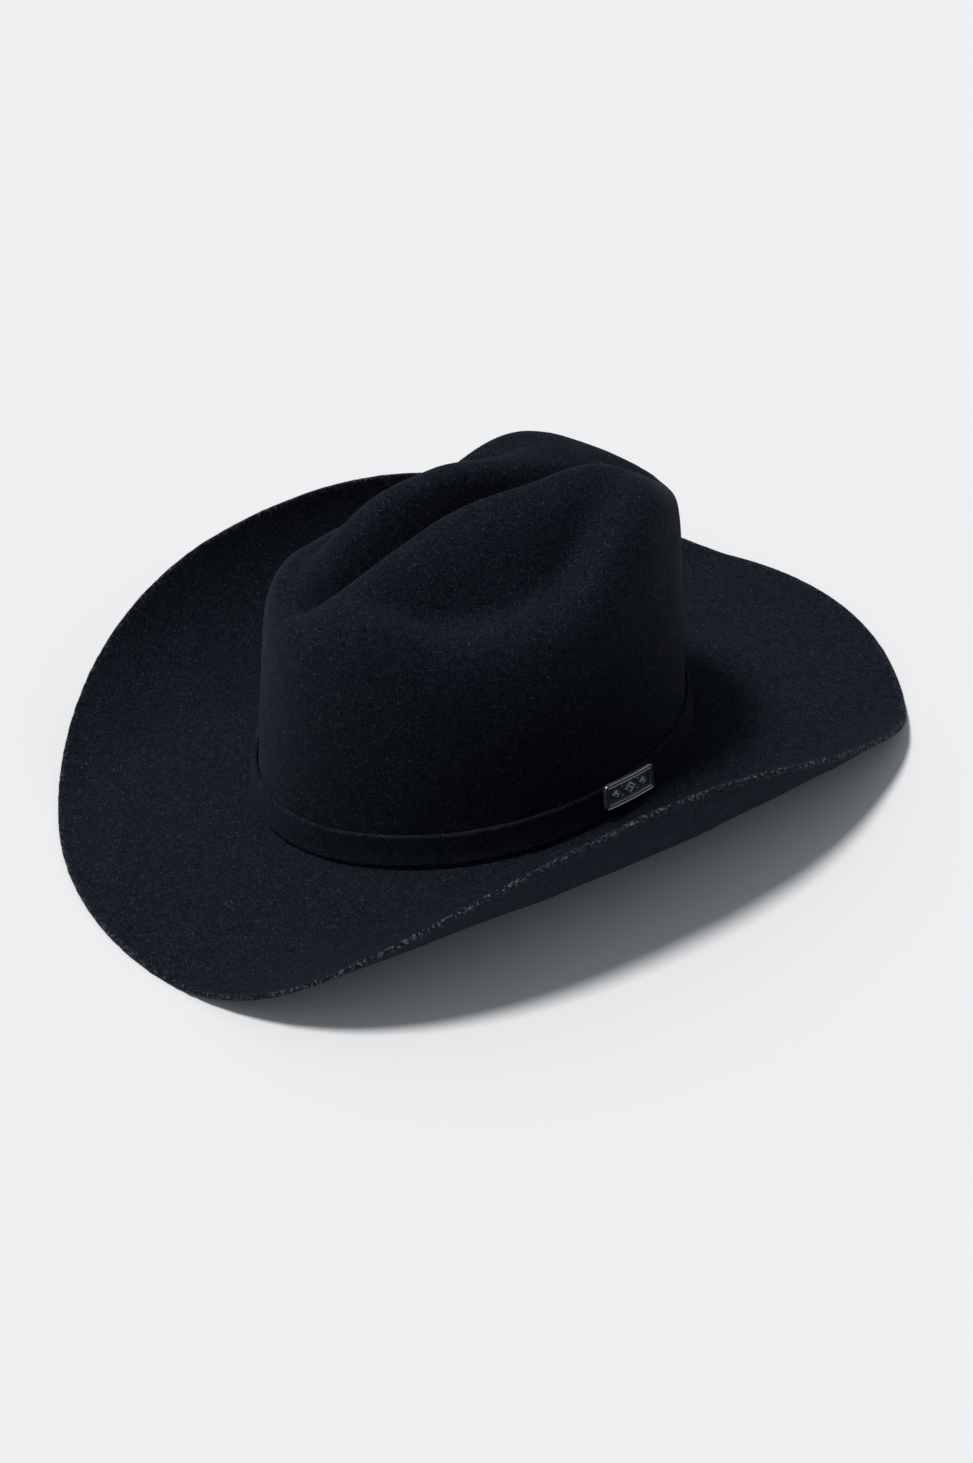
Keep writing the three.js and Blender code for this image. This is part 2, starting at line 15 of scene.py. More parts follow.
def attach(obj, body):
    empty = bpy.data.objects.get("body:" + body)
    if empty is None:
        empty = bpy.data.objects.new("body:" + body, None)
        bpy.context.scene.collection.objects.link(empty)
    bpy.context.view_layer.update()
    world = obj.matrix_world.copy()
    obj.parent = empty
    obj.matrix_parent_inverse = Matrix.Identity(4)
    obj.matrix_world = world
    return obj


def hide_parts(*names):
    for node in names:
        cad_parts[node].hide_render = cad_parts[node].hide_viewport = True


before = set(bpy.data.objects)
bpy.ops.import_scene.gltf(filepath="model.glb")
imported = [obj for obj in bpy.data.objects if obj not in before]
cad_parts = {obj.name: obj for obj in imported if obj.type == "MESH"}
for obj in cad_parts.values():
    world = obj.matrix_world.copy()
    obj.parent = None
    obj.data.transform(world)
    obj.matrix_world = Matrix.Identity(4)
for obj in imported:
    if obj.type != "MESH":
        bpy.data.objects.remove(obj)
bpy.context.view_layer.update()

# ---- driving dimensions (mm)

HEAD_HALF_LENGTH = 105
HEAD_HALF_WIDTH = 82
HEAD_CENTRE_Y = 2

BRIM_WIDTH = {"front": 91, "back": 106.5, "left": 97, "right": 101}
BRIM_FULLNESS = {"front": 3.5, "back": -10}
BRIM_CORNER = {"angle": math.radians(151), "spread": 0.23, "width": 4.5}
CURL_LEFT = {"radius": 63, "tighten": 0.28}
CURL_RIGHT = {"radius": 69, "tighten": 0.16}
CURL_START = 86.4
CURL_START_TAPER = 24.9
CURL_START_SKEW = 3.9
CURL_REACH = 200
DIP = {"front": 13.5, "back": 6, "start": 60.5, "power": 1.65}

REST_TILT = math.radians(0.92)
REST_LEVEL = -7.9
REST_BLEND = 0.5

RIDGE_LINE = [[17.7, 100.4], [17, 105.3], [16, 134], [15.5, 132], [15, 136], [14, 107.9]]
RIDGE_HALF_LENGTH = 81
RIDGE_CENTRE_Y = 7
RIDGE_ROUNDNESS = {"front": 1.15, "back": 0.7}
RIDGE_RISE_LEFT = {"nose": 10.5, "middle": 10.5, "back": 7.5, "ebb": (-0.1, 0.5)}
RIDGE_RISE_RIGHT = {"nose": 2, "middle": 8, "back": -8, "ebb": (-0.05, 0.75)}
RIDGE_NOSE = (-0.95, -0.3)
RIDGE_RISE_FULL = 0.85
RIDGE_SPREAD_RIGHT = 9
RIDGE_SPREAD_FULL = 0.7
RIDGE_PEAK = 2
RIDGE_SHOULDER = {"outer": 0.87, "inner": 0.82}
WALL_LEAN = {"side": 0.13, "front": 0.13, "back": -0.01}
CREASE_DEPTH = 28
CREASE_HALF_LENGTH = {"front": 54, "back": 60}
CREASE_OPENING = {"front": 5, "back": 8}
DENT = {"front": (-75, -20), "back": (25, 85)}
LIP = {"height": 99, "slope": 0.1, "inset": 16}
DENT_FLOOR = -1
DENT_RIGHT_FORWARD = 12
BASE_FILLET = 4.5

FELT = 2.2
LINING = 0.4
LINING_GAP = 0.5
LEATHER = 1.1
BAND = {"bottom": 2.4, "top": 16.4, "thickness": 2.1, "standoff": 0.45}
ORNAMENT_ANGLE = math.radians(110)
PLATE = {"centre": 10.4, "out": 3.25}
PLATE_HALF_X, PLATE_HALF_Y, PLATE_CORNER = 15.5, 6.3, 2
PLATE_TILT = math.radians(-5)
PLATE_BEND = 150
PLATE_DIAMONDS = ((-8.5, 2.9, 2.5), (0, 4.2, 3.7), (8.5, 2.9, 2.5))
PLATE_BEAD = (4.9, 2.3)
CORNER_CUT = 0.293
STUD = {"radius": 0.8, "spacing": 20, "height": 10.4}
STUD_X = {"front": -STUD["spacing"] / 2, "rear": STUD["spacing"] / 2}
STUD_Y = STUD["height"] - PLATE["centre"]
NUT = {"radius": 2.4, "thickness": 0.4, "standoff": 0.95}
NUT_OUTLINE = [(0, 0), (0.35, 0), (0.7, 0), (0.93, 0), (1, 0.25), (1, 0.75), (0.93, 1), (0.7, 1),
               (0.35, 1), (0, 1)]
SWEATBAND = {"bottom": 0.3, "top": 56, "inset": 3.8, "end_gap": 0.5}
REED = {"radius": 0.65, "inset": 4.3, "height": -1}
TAPE = {"thickness": 0.5, "gap": 0.35, "top": 6}
BOW = {"height": 7, "knot": 4, "loop_length": 10, "loop_height": 6.5, "thickness": 2.6}
LABEL = {"angle": math.radians(196), "width": 24, "bottom": 30, "top": 41, "thickness": 0.35}
PIPING_RADIUS = 0.75
LINING_START = 0.15
SIDE_END = 0.498
TIP_START = 0.54

# Where the hat's own origin lies in the row frame
HAT_ORIGIN = np.array([2.27, -9.64, 10.10])

AROUND = 480
NAP_FIBRES = 60000
RIB_MM = 0.9
WAVES_PER_UNIT = 3.18
RANDOM = np.random.default_rng(7)


# ---- small helpers

def lerp(a, b, share):
    return a + (b - a) * share


def smoothstep(value, low, high):
    share = np.clip((value - low) / (high - low), 0, 1)
    return share * share * (3 - 2 * share)


def signed_power(value, exponent):
    return np.sign(value) * np.abs(value) ** exponent


def unit(vectors):
    return vectors / np.maximum(np.linalg.norm(vectors, axis=-1, keepdims=True), 1e-12)


def steps_round(count):
    """Angles in even steps all the way round."""
    return np.arange(count) * math.tau / count


def front_or_back(c, values):
    """The front's value where c is above 0, and the back's elsewhere."""
    return np.where(c > 0, values["front"], values["back"])


def place(points):
    """Points of the hat's own frame, in mm, to the row frame, in metres."""
    cos, sin = math.cos(-REST_TILT), math.sin(-REST_TILT)
    turn = np.array([[1, 0, 0], [0, cos, -sin], [0, sin, cos]])
    return (np.asarray(points, float) @ turn.T + HAT_ORIGIN) / 1000


def spline_weights(shares, count):
    """Weights of the control points of a clamped uniform cubic spline, one row for each share."""
    knots = np.concatenate([np.zeros(3), np.linspace(0, 1, count - 2), np.ones(3)])
    u = np.clip(np.asarray(shares, float), 0, 1 - 1e-9)[:, None]
    weights = ((knots[:-1] <= u) & (u < knots[1:])).astype(float)
    for degree in (1, 2, 3):
        low, high = knots[:-degree - 1], knots[degree + 1:]
        next_low, last_high = knots[1:-degree], knots[degree:-1]
        rise = (u - low) / np.where(last_high > low, last_high - low, np.inf)
        fall = (high - u) / np.where(high > next_low, high - next_low, np.inf)
        weights = rise * weights[:, :-1] + fall * weights[:, 1:]
    return weights


def ripple(points, wavelength, amplitude, seed):
    """A smooth random field at the points: plane waves of about one wavelength."""
    random = np.random.default_rng(seed)
    field = np.zeros(len(points))
    waves = 9
    for _ in range(waves):
        direction = unit(random.normal(size=3))
        number = math.tau / wavelength * random.uniform(0.6, 1.5)
        field += np.sin(points @ direction * number + random.uniform(0, math.tau))
    return amplitude * field / math.sqrt(waves)


def ripples(points, *waves):
    """The sum of ripples, each given by its wavelength, amplitude and seed."""
    return sum(ripple(points, *wave) for wave in waves)


# ---- the hat's surface

def head_oval(t):
    x = HEAD_HALF_WIDTH * np.sin(t)
    y = HEAD_CENTRE_Y - HEAD_HALF_LENGTH * np.cos(t)
    normal = np.stack([np.sin(t) / HEAD_HALF_WIDTH, -np.cos(t) / HEAD_HALF_LENGTH], -1)
    return x, y, unit(normal)


def brim_width(t):
    c = np.cos(t)
    side = np.where(np.sin(t) < 0, BRIM_WIDTH["right"], BRIM_WIDTH["left"])
    fullness = front_or_back(c, BRIM_FULLNESS) * np.sin(2 * t) ** 2
    corner = np.exp(-((t - BRIM_CORNER["angle"]) / BRIM_CORNER["spread"]) ** 2)
    return (lerp(side, front_or_back(c, BRIM_WIDTH), c ** 2) + fullness
            + BRIM_CORNER["width"] * corner)


def press_level(y, z):
    """The brim never goes below the floor: it levels off softly there."""
    level = REST_LEVEL + math.tan(REST_TILT) * y
    above = z - level
    soft = level + (above + REST_BLEND) ** 2 / (4 * REST_BLEND)
    return np.where(above > REST_BLEND, z, np.where(above < -REST_BLEND, level, soft))


def curl(u, v):
    """Takes points of the flat brim pattern to the curled and dipped brim."""
    radius, tighten = (np.where(u < 0, CURL_RIGHT[key], CURL_LEFT[key])
                       for key in ("radius", "tighten"))
    k = v / CURL_REACH
    start = CURL_START - CURL_START_TAPER * k ** 2 + CURL_START_SKEW * k
    bend = (1 + tighten * k) / radius
    past = np.abs(u) - start
    turn = bend * np.maximum(past, 0)
    x = np.where(past > 0, start + np.sin(turn) / bend, np.abs(u))
    rise = (1 - np.cos(turn)) / bend
    along = np.maximum(np.abs(v) - DIP["start"], 0) / (CURL_REACH - DIP["start"])
    dip = front_or_back(-v, DIP) * along ** DIP["power"]
    return np.stack([np.sign(u) * x, v, press_level(v, rise - dip)], -1)


def brim_point(t, out):
    x, y, normal = head_oval(t)
    return curl(x + normal[..., 0] * out, y + normal[..., 1] * out)


def ridge_at(along):
    """Half width and height of the ridge, from -1 at the front to 1 at the back."""
    shape = np.shape(along)
    weights = spline_weights((np.ravel(along) + 1) / 2, len(RIDGE_LINE))
    return (weights @ np.array(RIDGE_LINE)).reshape(shape + (2,))


def ridge_change(along, rise):
    """What one side's ridge adds to the common ridge line, from the front to the back."""
    toward_back = lerp(rise["middle"], rise["back"], smoothstep(along, *rise["ebb"]))
    return lerp(rise["nose"], toward_back, smoothstep(along, *RIDGE_NOSE))


def meridian_controls(t):
    """Control points of the crown's profile at each angle t, from the brim to the crease."""
    c, s = np.cos(t), np.sin(t)
    x, y, normal = head_oval(t)
    foot_z = curl(x, y)[..., 2]

    roundness = lerp(RIDGE_ROUNDNESS["back"], RIDGE_ROUNDNESS["front"], smoothstep(c, -1, 1))
    along = -signed_power(c, roundness)
    ridge = ridge_at(along)
    left, right = (ridge_change(along, rise) for rise in (RIDGE_RISE_LEFT, RIDGE_RISE_RIGHT))
    rise = np.where(s < 0, right, left)
    height = ridge[..., 1] + rise * smoothstep(np.abs(s), 0, RIDGE_RISE_FULL)
    spread = np.where(s < 0, RIDGE_SPREAD_RIGHT * smoothstep(-along, 0, RIDGE_SPREAD_FULL), 0)
    crest_x = (ridge[..., 0] + spread) * signed_power(s, roundness)
    crest_y = RIDGE_CENTRE_Y + RIDGE_HALF_LENGTH * along
    inward = np.stack([crest_x - x, crest_y - y], -1)
    reach = np.linalg.norm(inward, axis=-1)
    inward = unit(inward)

    lean = WALL_LEAN["side"] * s ** 2 + front_or_back(c, WALL_LEAN) * c ** 2
    dent_y = crest_y + np.where(s < 0, DENT_RIGHT_FORWARD, 0)
    dent = smoothstep(dent_y, *DENT["front"]) * (1 - smoothstep(dent_y, *DENT["back"])) * np.abs(s)
    lip = LIP["height"] + LIP["slope"] * crest_y
    floor = lip + DENT_FLOOR
    run = reach - lean * height

    crease_y = RIDGE_CENTRE_Y - front_or_back(c, CREASE_HALF_LENGTH) * c
    crease_top = ridge_at((crease_y - RIDGE_CENTRE_Y) / RIDGE_HALF_LENGTH)[..., 1]
    crease_z = crease_top - CREASE_DEPTH + front_or_back(c, CREASE_OPENING) * c ** 2

    def at(distance, z):
        return np.stack([x + inward[..., 0] * distance, y + inward[..., 1] * distance, z], -1)

    def wall(plain, dented, plain_z, dented_z):
        return at(lerp(plain, dented, dent), lerp(plain_z, dented_z, dent))

    def between(share, z):
        return np.stack([lerp(crest_x, 0, share), lerp(crest_y, crease_y, share), z], -1)

    inset = LIP["inset"]
    top = lean * height
    shoulder = lerp(floor, height, RIDGE_SHOULDER["outer"])
    return np.stack([
        brim_point(t, np.full_like(t, BASE_FILLET)),
        np.stack([x + normal[..., 0], y + normal[..., 1], foot_z], -1),
        at(0.1 * top, foot_z + 0.1 * height),
        at(0.35 * top, 0.35 * height),
        wall(0.6 * top, inset * 0.5, 0.6 * height, 0.6 * lip),
        wall(0.82 * top, inset * 0.68, 0.84 * height, 0.82 * lip),
        wall(top + 0.05 * run, inset, height, lip),
        wall(top + 0.3 * run, inset + 0.25 * run, 1.045 * height, 1.05 * lip),
        wall(top + 0.55 * run, inset + 0.5 * run, 1.05 * height, floor),
        wall(top + 0.8 * run, 0.75 * reach, 1.04 * height, shoulder),
        np.stack([crest_x, crest_y, height + RIDGE_PEAK], -1),
        between(0.4, lerp(crease_z, height, RIDGE_SHOULDER["inner"])),
        between(0.78, crease_z),
        between(1, crease_z),
    ], -2)


def crown_rows(t, stations):
    """Points of the crown at each station of each angle, as [station, angle, xyz]."""
    controls = meridian_controls(t)
    weights = spline_weights(stations, controls.shape[-2])
    return np.einsum("sk,tkd->std", weights, controls)


# ---- grids and meshes

def grid_faces(number, rings):
    """Quads and triangles of a grid of point numbers [row, column]; rings join their ends."""
    a, d = number[:-1], number[1:]
    if rings:
        b, c = np.roll(a, -1, 1), np.roll(d, -1, 1)
    else:
        a, b, c, d = a[:, :-1], a[:, 1:], d[:, 1:], d[:, :-1]
    quads = np.stack([a, b, c, d], -1).reshape(-1, 4).tolist()
    faces = (list(dict.fromkeys(quad)) for quad in quads)
    return [face for face in faces if len(face) > 2]


def crease_numbers(rows, columns, joined_rows):
    """Point numbers of a ring grid whose named rows have their left and right halves shared."""
    number = np.arange(rows * columns).reshape(rows, columns)
    step = np.arange(columns)
    for row in joined_rows:
        number[row] = number[row, np.minimum(step, (columns - step) % columns)]
    return number


def triangles_of(faces):
    return np.array([(f[0], f[k], f[k + 1]) for f in faces for k in range(1, len(f) - 1)])


def vertex_normals(points, faces):
    triangles = triangles_of(faces)
    corner = points[triangles]
    face = np.cross(corner[:, 1] - corner[:, 0], corner[:, 2] - corner[:, 0])
    normals = np.zeros_like(points)
    for k in range(3):
        np.add.at(normals, triangles[:, k], face)
    return unit(normals)


def signed_volume(points, faces):
    corner = points[triangles_of(faces)]
    return np.einsum("ij,ij->i", corner[:, 0], np.cross(corner[:, 1], corner[:, 2])).sum() / 6


def add_to_scene(name, data):
    made = bpy.data.objects.new(name, data)
    bpy.context.scene.collection.objects.link(made)
    return made


def piece(name, points, faces, look, slot, replaces=(), tones=None, strip=None, closed=True):
    """A finished piece: a mesh of hat-frame points in mm, riding on the hat."""
    if closed and signed_volume(points, faces) < 0:
        faces = [f[::-1] for f in faces]
    used = np.unique(triangles_of(faces))
    renumber = np.zeros(len(points), int)
    renumber[used] = np.arange(len(used))
    mesh = bpy.data.meshes.new(name)
    mesh.from_pydata(place(points[used]).tolist(), [],
                     [[int(renumber[i]) for i in f] for f in faces])
    mesh.polygons.foreach_set("use_smooth", [True] * len(mesh.polygons))
    layers = ("tone", "FLOAT", "value", tones), ("strip", "FLOAT_VECTOR", "vector", strip)
    for label, kind, field, values in layers:
        if values is not None:
            layer = mesh.attributes.new(label, kind, "POINT")
            layer.data.foreach_set(field, np.asarray(values, np.float32)[used].ravel())
    mesh.materials.append(look)
    mesh.validate()
    mesh.update()
    made = add_to_scene(name, mesh)
    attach(made, "root")
    if replaces:
        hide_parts(*replaces)
    return made


# ---- materials

class Look:
    """A principled material with short calls for the nodes that these materials use."""

    def __init__(self, name, color, roughness, **sockets):
        self.material = bpy.data.materials.new(name)
        self.material.use_nodes = True
        self.tree = self.material.node_tree
        self.shader = self.tree.nodes["Principled BSDF"]
        sockets.update(Base_Color=color, Roughness=roughness)
        for socket, value in sockets.items():
            self.feed(self.shader, socket, value)
        self.place = self.node("TexCoord").outputs["Object"]

    def feed(self, node, socket, value):
        """Links a node's output to a socket, or sets the socket's own value or colour."""
        socket = node.inputs[socket.replace("_", " ") if isinstance(socket, str) else socket]
        if isinstance(value, bpy.types.NodeSocket):
            self.tree.links.new(value, socket)
        else:
            socket.default_value = (*value, 1) if socket.type == "RGBA" else value

    def node(self, kind, **settings):
        """A new node: sockets are named with a capital, its own settings without."""
        made = self.tree.nodes.new("ShaderNode" + kind)
        for key, value in settings.items():
            if key[0].isupper():
                self.feed(made, key, value)
            else:
                setattr(made, key, value)
        return made

    def noise(self, size_mm, detail=3, roughness=0.55, distortion=0.0, vector=None):
        return self.node("TexNoise", Vector=vector or self.place, Scale=1000 / size_mm,
                         Detail=detail, Roughness=roughness, Distortion=distortion).outputs["Fac"]

    def stretched(self, scale):
        return self.node("Mapping", Vector=self.place, Scale=scale).outputs["Vector"]

    def attribute(self, name, output="Fac"):
        return self.node("Attribute", attribute_name=name).outputs[output]

    def bands(self, direction, scale, distortion=0.0):
        """Wave bands across the strip coordinate, which counts in mm."""
        strip = self.attribute("strip", "Vector")
        return self.node("TexWave", Vector=strip, Scale=scale, Distortion=distortion,
                         bands_direction=direction).outputs["Fac"]

    def ramp(self, factor, *stops):
        made = self.node("ValToRGB", Fac=factor)
        elements = made.color_ramp.elements
        while len(elements) < len(stops):
            elements.new(0.5)
        for element, (position, color) in zip(elements, stops):
            element.position = position
            shade = color if isinstance(color, tuple) else (color, color, color)
            element.color = (*shade, 1)
        return made.outputs["Color"]

    def math(self, operation, a, b):
        made = self.node("Math", operation=operation)
        self.feed(made, 0, a)
        self.feed(made, 1, b)
        return made.outputs[0]

    def mix(self, factor, a, b):
        made = self.node("Mix", data_type="RGBA")
        for socket, value in ((0, factor), (6, a), (7, b)):
            self.feed(made, socket, value)
        return made.outputs[2]

    def finish(self, color, gloss, *bumps):
        """Wires up what varies. gloss is a factor and the roughness at its 0.3 and 0.7, or at two
        more numbers. Each of the bumps is a height, its depth in mm and its strength."""
        normal = {}
        for height, depth_mm, strength in bumps:
            made = self.node("Bump", Height=height, Strength=strength, Distance=depth_mm / 1000,
                             **normal)
            normal = {"Normal": made.outputs["Normal"]}
        factor, low, high, start, end = (*gloss, 0.3, 0.7)[:5]
        varied = {"Base Color": color, "Roughness": self.ramp(factor, (start, low), (end, high))}
        for socket, value in {**varied, **normal}.items():
            self.feed(self.shader, socket, value)
        return self.material


def felt_look():
    """Brushed wool felt: blue-black, mottled, with a matted nap and pale wool ends in it.
    The tone attribute is 1 on a raw cut edge, where the cut wool shows paler and its bright specks
    are painted highlight, the sparkle of light on the cut ends."""
    look = Look("wool_felt", (0.006, 0.008, 0.013), 0.92, Sheen_Weight=0.035, Sheen_Roughness=0.45,
                Sheen_Tint=(0.66, 0.76, 1.0), Specular_IOR_Level=0.06)
    patches = look.noise(38)
    mottle = look.noise(4.0, 4, 0.7)
    nap = look.noise(1.5, 4, 0.8)
    deepest, dark = (0.0006, 0.002, 0.0055), (0.0018, 0.0046, 0.0115)
    pale, wool_end = (0.0074, 0.0102, 0.0166), (0.034, 0.037, 0.047)
    cut_dark, cut_pale_and_sparkle = (0.007, 0.009, 0.015), (0.105, 0.109, 0.122)
    base = look.mix(look.ramp(mottle, (0.32, 0.0), (0.68, 1.0)), dark, pale)
    base = look.mix(look.ramp(patches, (0.35, 0.0), (0.7, 0.25)), base, pale)
    base = look.mix(look.ramp(nap, (0.41, 0.0), (0.5, 0.6), (0.58, 1.0)), deepest, base)
    ends, crossed = (look.noise(1.5, 2, 0.5, 2.5, look.stretched(scale))
                     for scale in ((1, 2.8, 1.8), (2.8, 1, 2)))
    fleck = look.ramp(look.math("MAXIMUM", ends, crossed), (0.56, 0.0), (0.70, 0.9))
    base = look.mix(fleck, base, wool_end)
    # Painted highlight: the bright specks on the raw cut edge stand for light sparkling on the cut
    # wool ends, over their paler tone.
    cut = look.ramp(look.noise(1.5, 4, 0.8), (0.53, 0.0), (0.60, 1.0))
    color = look.mix(look.attribute("tone"), base, look.mix(cut, cut_dark, cut_pale_and_sparkle))
    return look.finish(color, (nap, 0.98, 0.8), (mottle, 0.35, 0.5), (nap, 0.45, 0.9))


def fibre_look():
    """Loose wool ends: mostly as dark as the felt, some of them pale."""
    look = Look("wool_fibre", (0.03, 0.03, 0.04), 0.6, Sheen_Weight=0.1, Specular_IOR_Level=0.2)
    color = look.ramp(look.attribute("tone"), (0.0, (0.006, 0.008, 0.013)),
                      (0.72, (0.030, 0.035, 0.046)), (1.0, (0.18, 0.19, 0.22)))
    return look.finish(color, (look.noise(0.4), 0.5, 0.75))


def plate_look():
    """Cast white metal: grey-green in the low places, polished where it is rubbed."""
    look = Look("cast_metal", (0.4, 0.41, 0.4), 0.35, Metallic=1.0)
    worn = look.math("ADD", look.attribute("tone"), look.math("MULTIPLY", look.noise(1.6, 4), 0.35))
    tarnish = look.mix(look.noise(3), (0.12, 0.13, 0.125), (0.23, 0.25, 0.235))
    bright = look.mix(look.noise(2.2), (0.48, 0.5, 0.48), (0.66, 0.67, 0.66))
    color = look.mix(look.ramp(worn, (0.35, 0.0), (0.95, 1.0)), tarnish, bright)
    return look.finish(color, (worn, 0.62, 0.26, 0.3, 1.0),
                       (look.noise(0.5, 4, 0.7), 0.06, 0.5), (look.noise(0.12, 2), 0.015, 0.5))


def clouded_look(name, color, roughness, tones, gloss, sizes_mm, bump_mm, **sockets):
    """A plain material whose tone, gloss and surface vary with noise of these three sizes."""
    look = Look(name, color, roughness, **sockets)
    cloud, shine, height = map(look.noise, sizes_mm)
    return look.finish(look.mix(cloud, *tones), (shine, *gloss), (height, bump_mm, 0.5))


def leather_look():
    """Thin roan leather: fine pebbled grain, a little worn and shiny."""
    look = Look("roan_leather", (0.02, 0.016, 0.014), 0.5,
                Specular_IOR_Level=0.4, Coat_Weight=0.08, Coat_Roughness=0.35)
    cells = look.node("TexVoronoi", Vector=look.place, Scale=1000 / 0.85, Randomness=0.9,
                      feature="DISTANCE_TO_EDGE").outputs["Distance"]
    grain = look.ramp(cells, (0.0, 0.0), (0.16, 1.0))
    cloudy = look.ramp(look.noise(17, 4), (0.3, 0.0), (0.7, 1.0))
    tone = look.mix(cloudy, (0.017, 0.013, 0.011), (0.038, 0.029, 0.024))
    return look.finish(look.mix(grain, (0.009, 0.007, 0.006), tone),
                       (look.noise(2.6, 4), 0.42, 0.62), (grain, 0.06, 0.6),
                       (look.noise(5, 4), 0.25, 0.4))


def ribbon_look(name, dark, pale):
    """Grosgrain: ribs across the ribbon, which the strip coordinate runs along in mm."""
    look = Look(name, dark, 0.62, Sheen_Weight=0.25, Sheen_Roughness=0.4)
    ribs = look.bands("X", 1 / RIB_MM / WAVES_PER_UNIT, 0.25)
    weave = look.noise(0.35, 2)
    tone = look.math("ADD", look.math("MULTIPLY", ribs, 0.75), look.math("MULTIPLY", weave, 0.25))
    return look.finish(look.mix(tone, dark, pale), (weave, 0.5, 0.75), (ribs, 0.12, 0.8),
                       (weave, 0.05, 0.6))


def satin_look():
    """Lining satin: smooth, with long floats that catch the light, faintly slubbed."""
    look = Look("lining_satin", (0.012, 0.013, 0.018), 0.36,
                Sheen_Weight=0.2, Sheen_Roughness=0.3, Specular_IOR_Level=0.6)
    floats = look.noise(0.5, 2, 0.5, 0.0, look.stretched((1, 1, 7)))
    slub = look.noise(7, 3, 0.6, 0.0, look.stretched((1, 1, 4)))
    tone = look.mix(slub, (0.010, 0.011, 0.015), (0.021, 0.023, 0.031))
    color = look.mix(look.ramp(floats, (0.35, 0.0), (0.65, 1.0)), (0.006, 0.006, 0.009), tone)
    return look.finish(color, (floats, 0.28, 0.5), (floats, 0.03, 0.6), (slub, 0.15, 0.4))


def label_look():
    """Woven label cloth: pale, with a fine plain weave and a slight yellowing."""
    look = Look("label_cloth", (0.6, 0.58, 0.52), 0.85, Sheen_Weight=0.1)
    weave = look.math("MULTIPLY", look.bands("X", 0.9), look.bands("Y", 0.9))
    aged = look.mix(look.noise(6), (0.60, 0.57, 0.49), (0.70, 0.68, 0.62))
    return look.finish(look.mix(weave, (0.40, 0.38, 0.33), aged), (weave, 0.95, 0.75, 0.0, 1.0),
                       (weave, 0.06, 0.8))


def thread_look(name, dark, pale):
    look = Look(name, dark, 0.55, Sheen_Weight=0.3)
    twist = look.noise(0.28, 2)
    return look.finish(look.mix(twist, dark, pale), (twist, 0.45, 0.7), (twist, 0.05, 0.8))


# ---- felt body

class Skin:
    """The felt's outer face as a grid from the brim's edge to the crease."""

    BRIM_ROWS = 64
    CROWN_ROWS = 150

    def __init__(self):
        t = steps_round(AROUND)
        width = brim_width(t)
        outs = [brim_point(t, lerp(BASE_FILLET, width, share))
                for share in np.linspace(1, 0, self.BRIM_ROWS, endpoint=False)]
        crown = crown_rows(t, np.linspace(0, 1, self.CROWN_ROWS))
        self.rows = np.concatenate([np.array(outs), crown])
        number = crease_numbers(len(self.rows), AROUND, [len(self.rows) - 1])
        self.points = self.rows.reshape(-1, 3)
        self.faces = grid_faces(number, True)
        self.normals = vertex_normals(self.points, self.faces)[number.ravel()]
        self.edge_out = unit(self.rows[0] - self.rows[1])

    def at_depth(self, depth):
        """Rows of the surface moved in by depth, which may differ from point to point."""
        moved = self.points - self.normals * np.reshape(depth, (-1, 1))
        return moved.reshape(self.rows.shape)

    def row_of(self, station):
        return self.BRIM_ROWS + int(round(station * (self.CROWN_ROWS - 1)))


def felt_body(skin, look):
    """Shell of even thickness with a softly rounded raw edge."""
    near_floor = smoothstep(skin.points[:, 2] - REST_LEVEL, 3, 9)
    uneven = ripples(skin.points, (46, 0.16, 1), (14, 0.05, 2), (4.5, 0.018, 3)) * near_floor
    outer = skin.at_depth(uneven)
    inner = skin.at_depth(uneven + FELT)
    middle = (outer[0] + inner[0]) / 2
    across = (outer[0] - inner[0]) / 2
    frayed = 0.35 + ripples(middle, (3.2, 0.12, 4), (0.9, 0.08, 5))
    edge = [middle + across * math.cos(turn) + skin.edge_out * (frayed * math.sin(turn))[:, None]
            for turn in np.linspace(0, math.pi, 8)[1:-1]]
    rows = np.concatenate([outer[::-1], np.array(edge), inner])
    number = crease_numbers(len(rows), AROUND, [0, len(rows) - 1])
    # Tone 1 marks the raw cut edge, which the felt's material paints paler, with specks of painted
    # highlight for its sparkle.
    tones = np.zeros(rows.shape[:2])
    first, end = len(outer), len(outer) + len(edge)
    tones[first:end] = 1
    tones[[first - 1, end]] = 0.8
    tones[[first - 2, end + 1]] = 0.3
    piece("felt_hat", rows.reshape(-1, 3), grid_faces(number, True), look, "felt",
          ["felt_body"], tones=tones.ravel())


# ---- loose wool ends

def fibre_piece(name, look, pale_share, roots, starts, sides, lengths, bend, width):
    """A piece of thin curved tapering ribbons, with one tone for each of them."""
    middle = roots + starts * lengths[:, None] * 0.55
    tip = middle + unit(starts + bend) * lengths[:, None] * 0.45
    half = sides * width[:, None] / 2
    corners = [roots - half, roots + half, middle + half * 0.8, middle - half * 0.8, tip]
    base = np.arange(len(roots)) * len(corners)
    quads = np.stack([base, base + 1, base + 2, base + 3], 1).tolist()
    ends = np.stack([base + 3, base + 2, base + 4], 1).tolist()
    tone = RANDOM.uniform(0, 0.7, len(roots))
    pale = RANDOM.random(len(roots)) < pale_share
    tone[pale] = RANDOM.uniform(0.75, 1.0, pale.sum())
    piece(name, np.stack(corners, 1).reshape(-1, 3), quads + ends, look, "felt",
          tones=np.repeat(tone, len(corners)), closed=False)


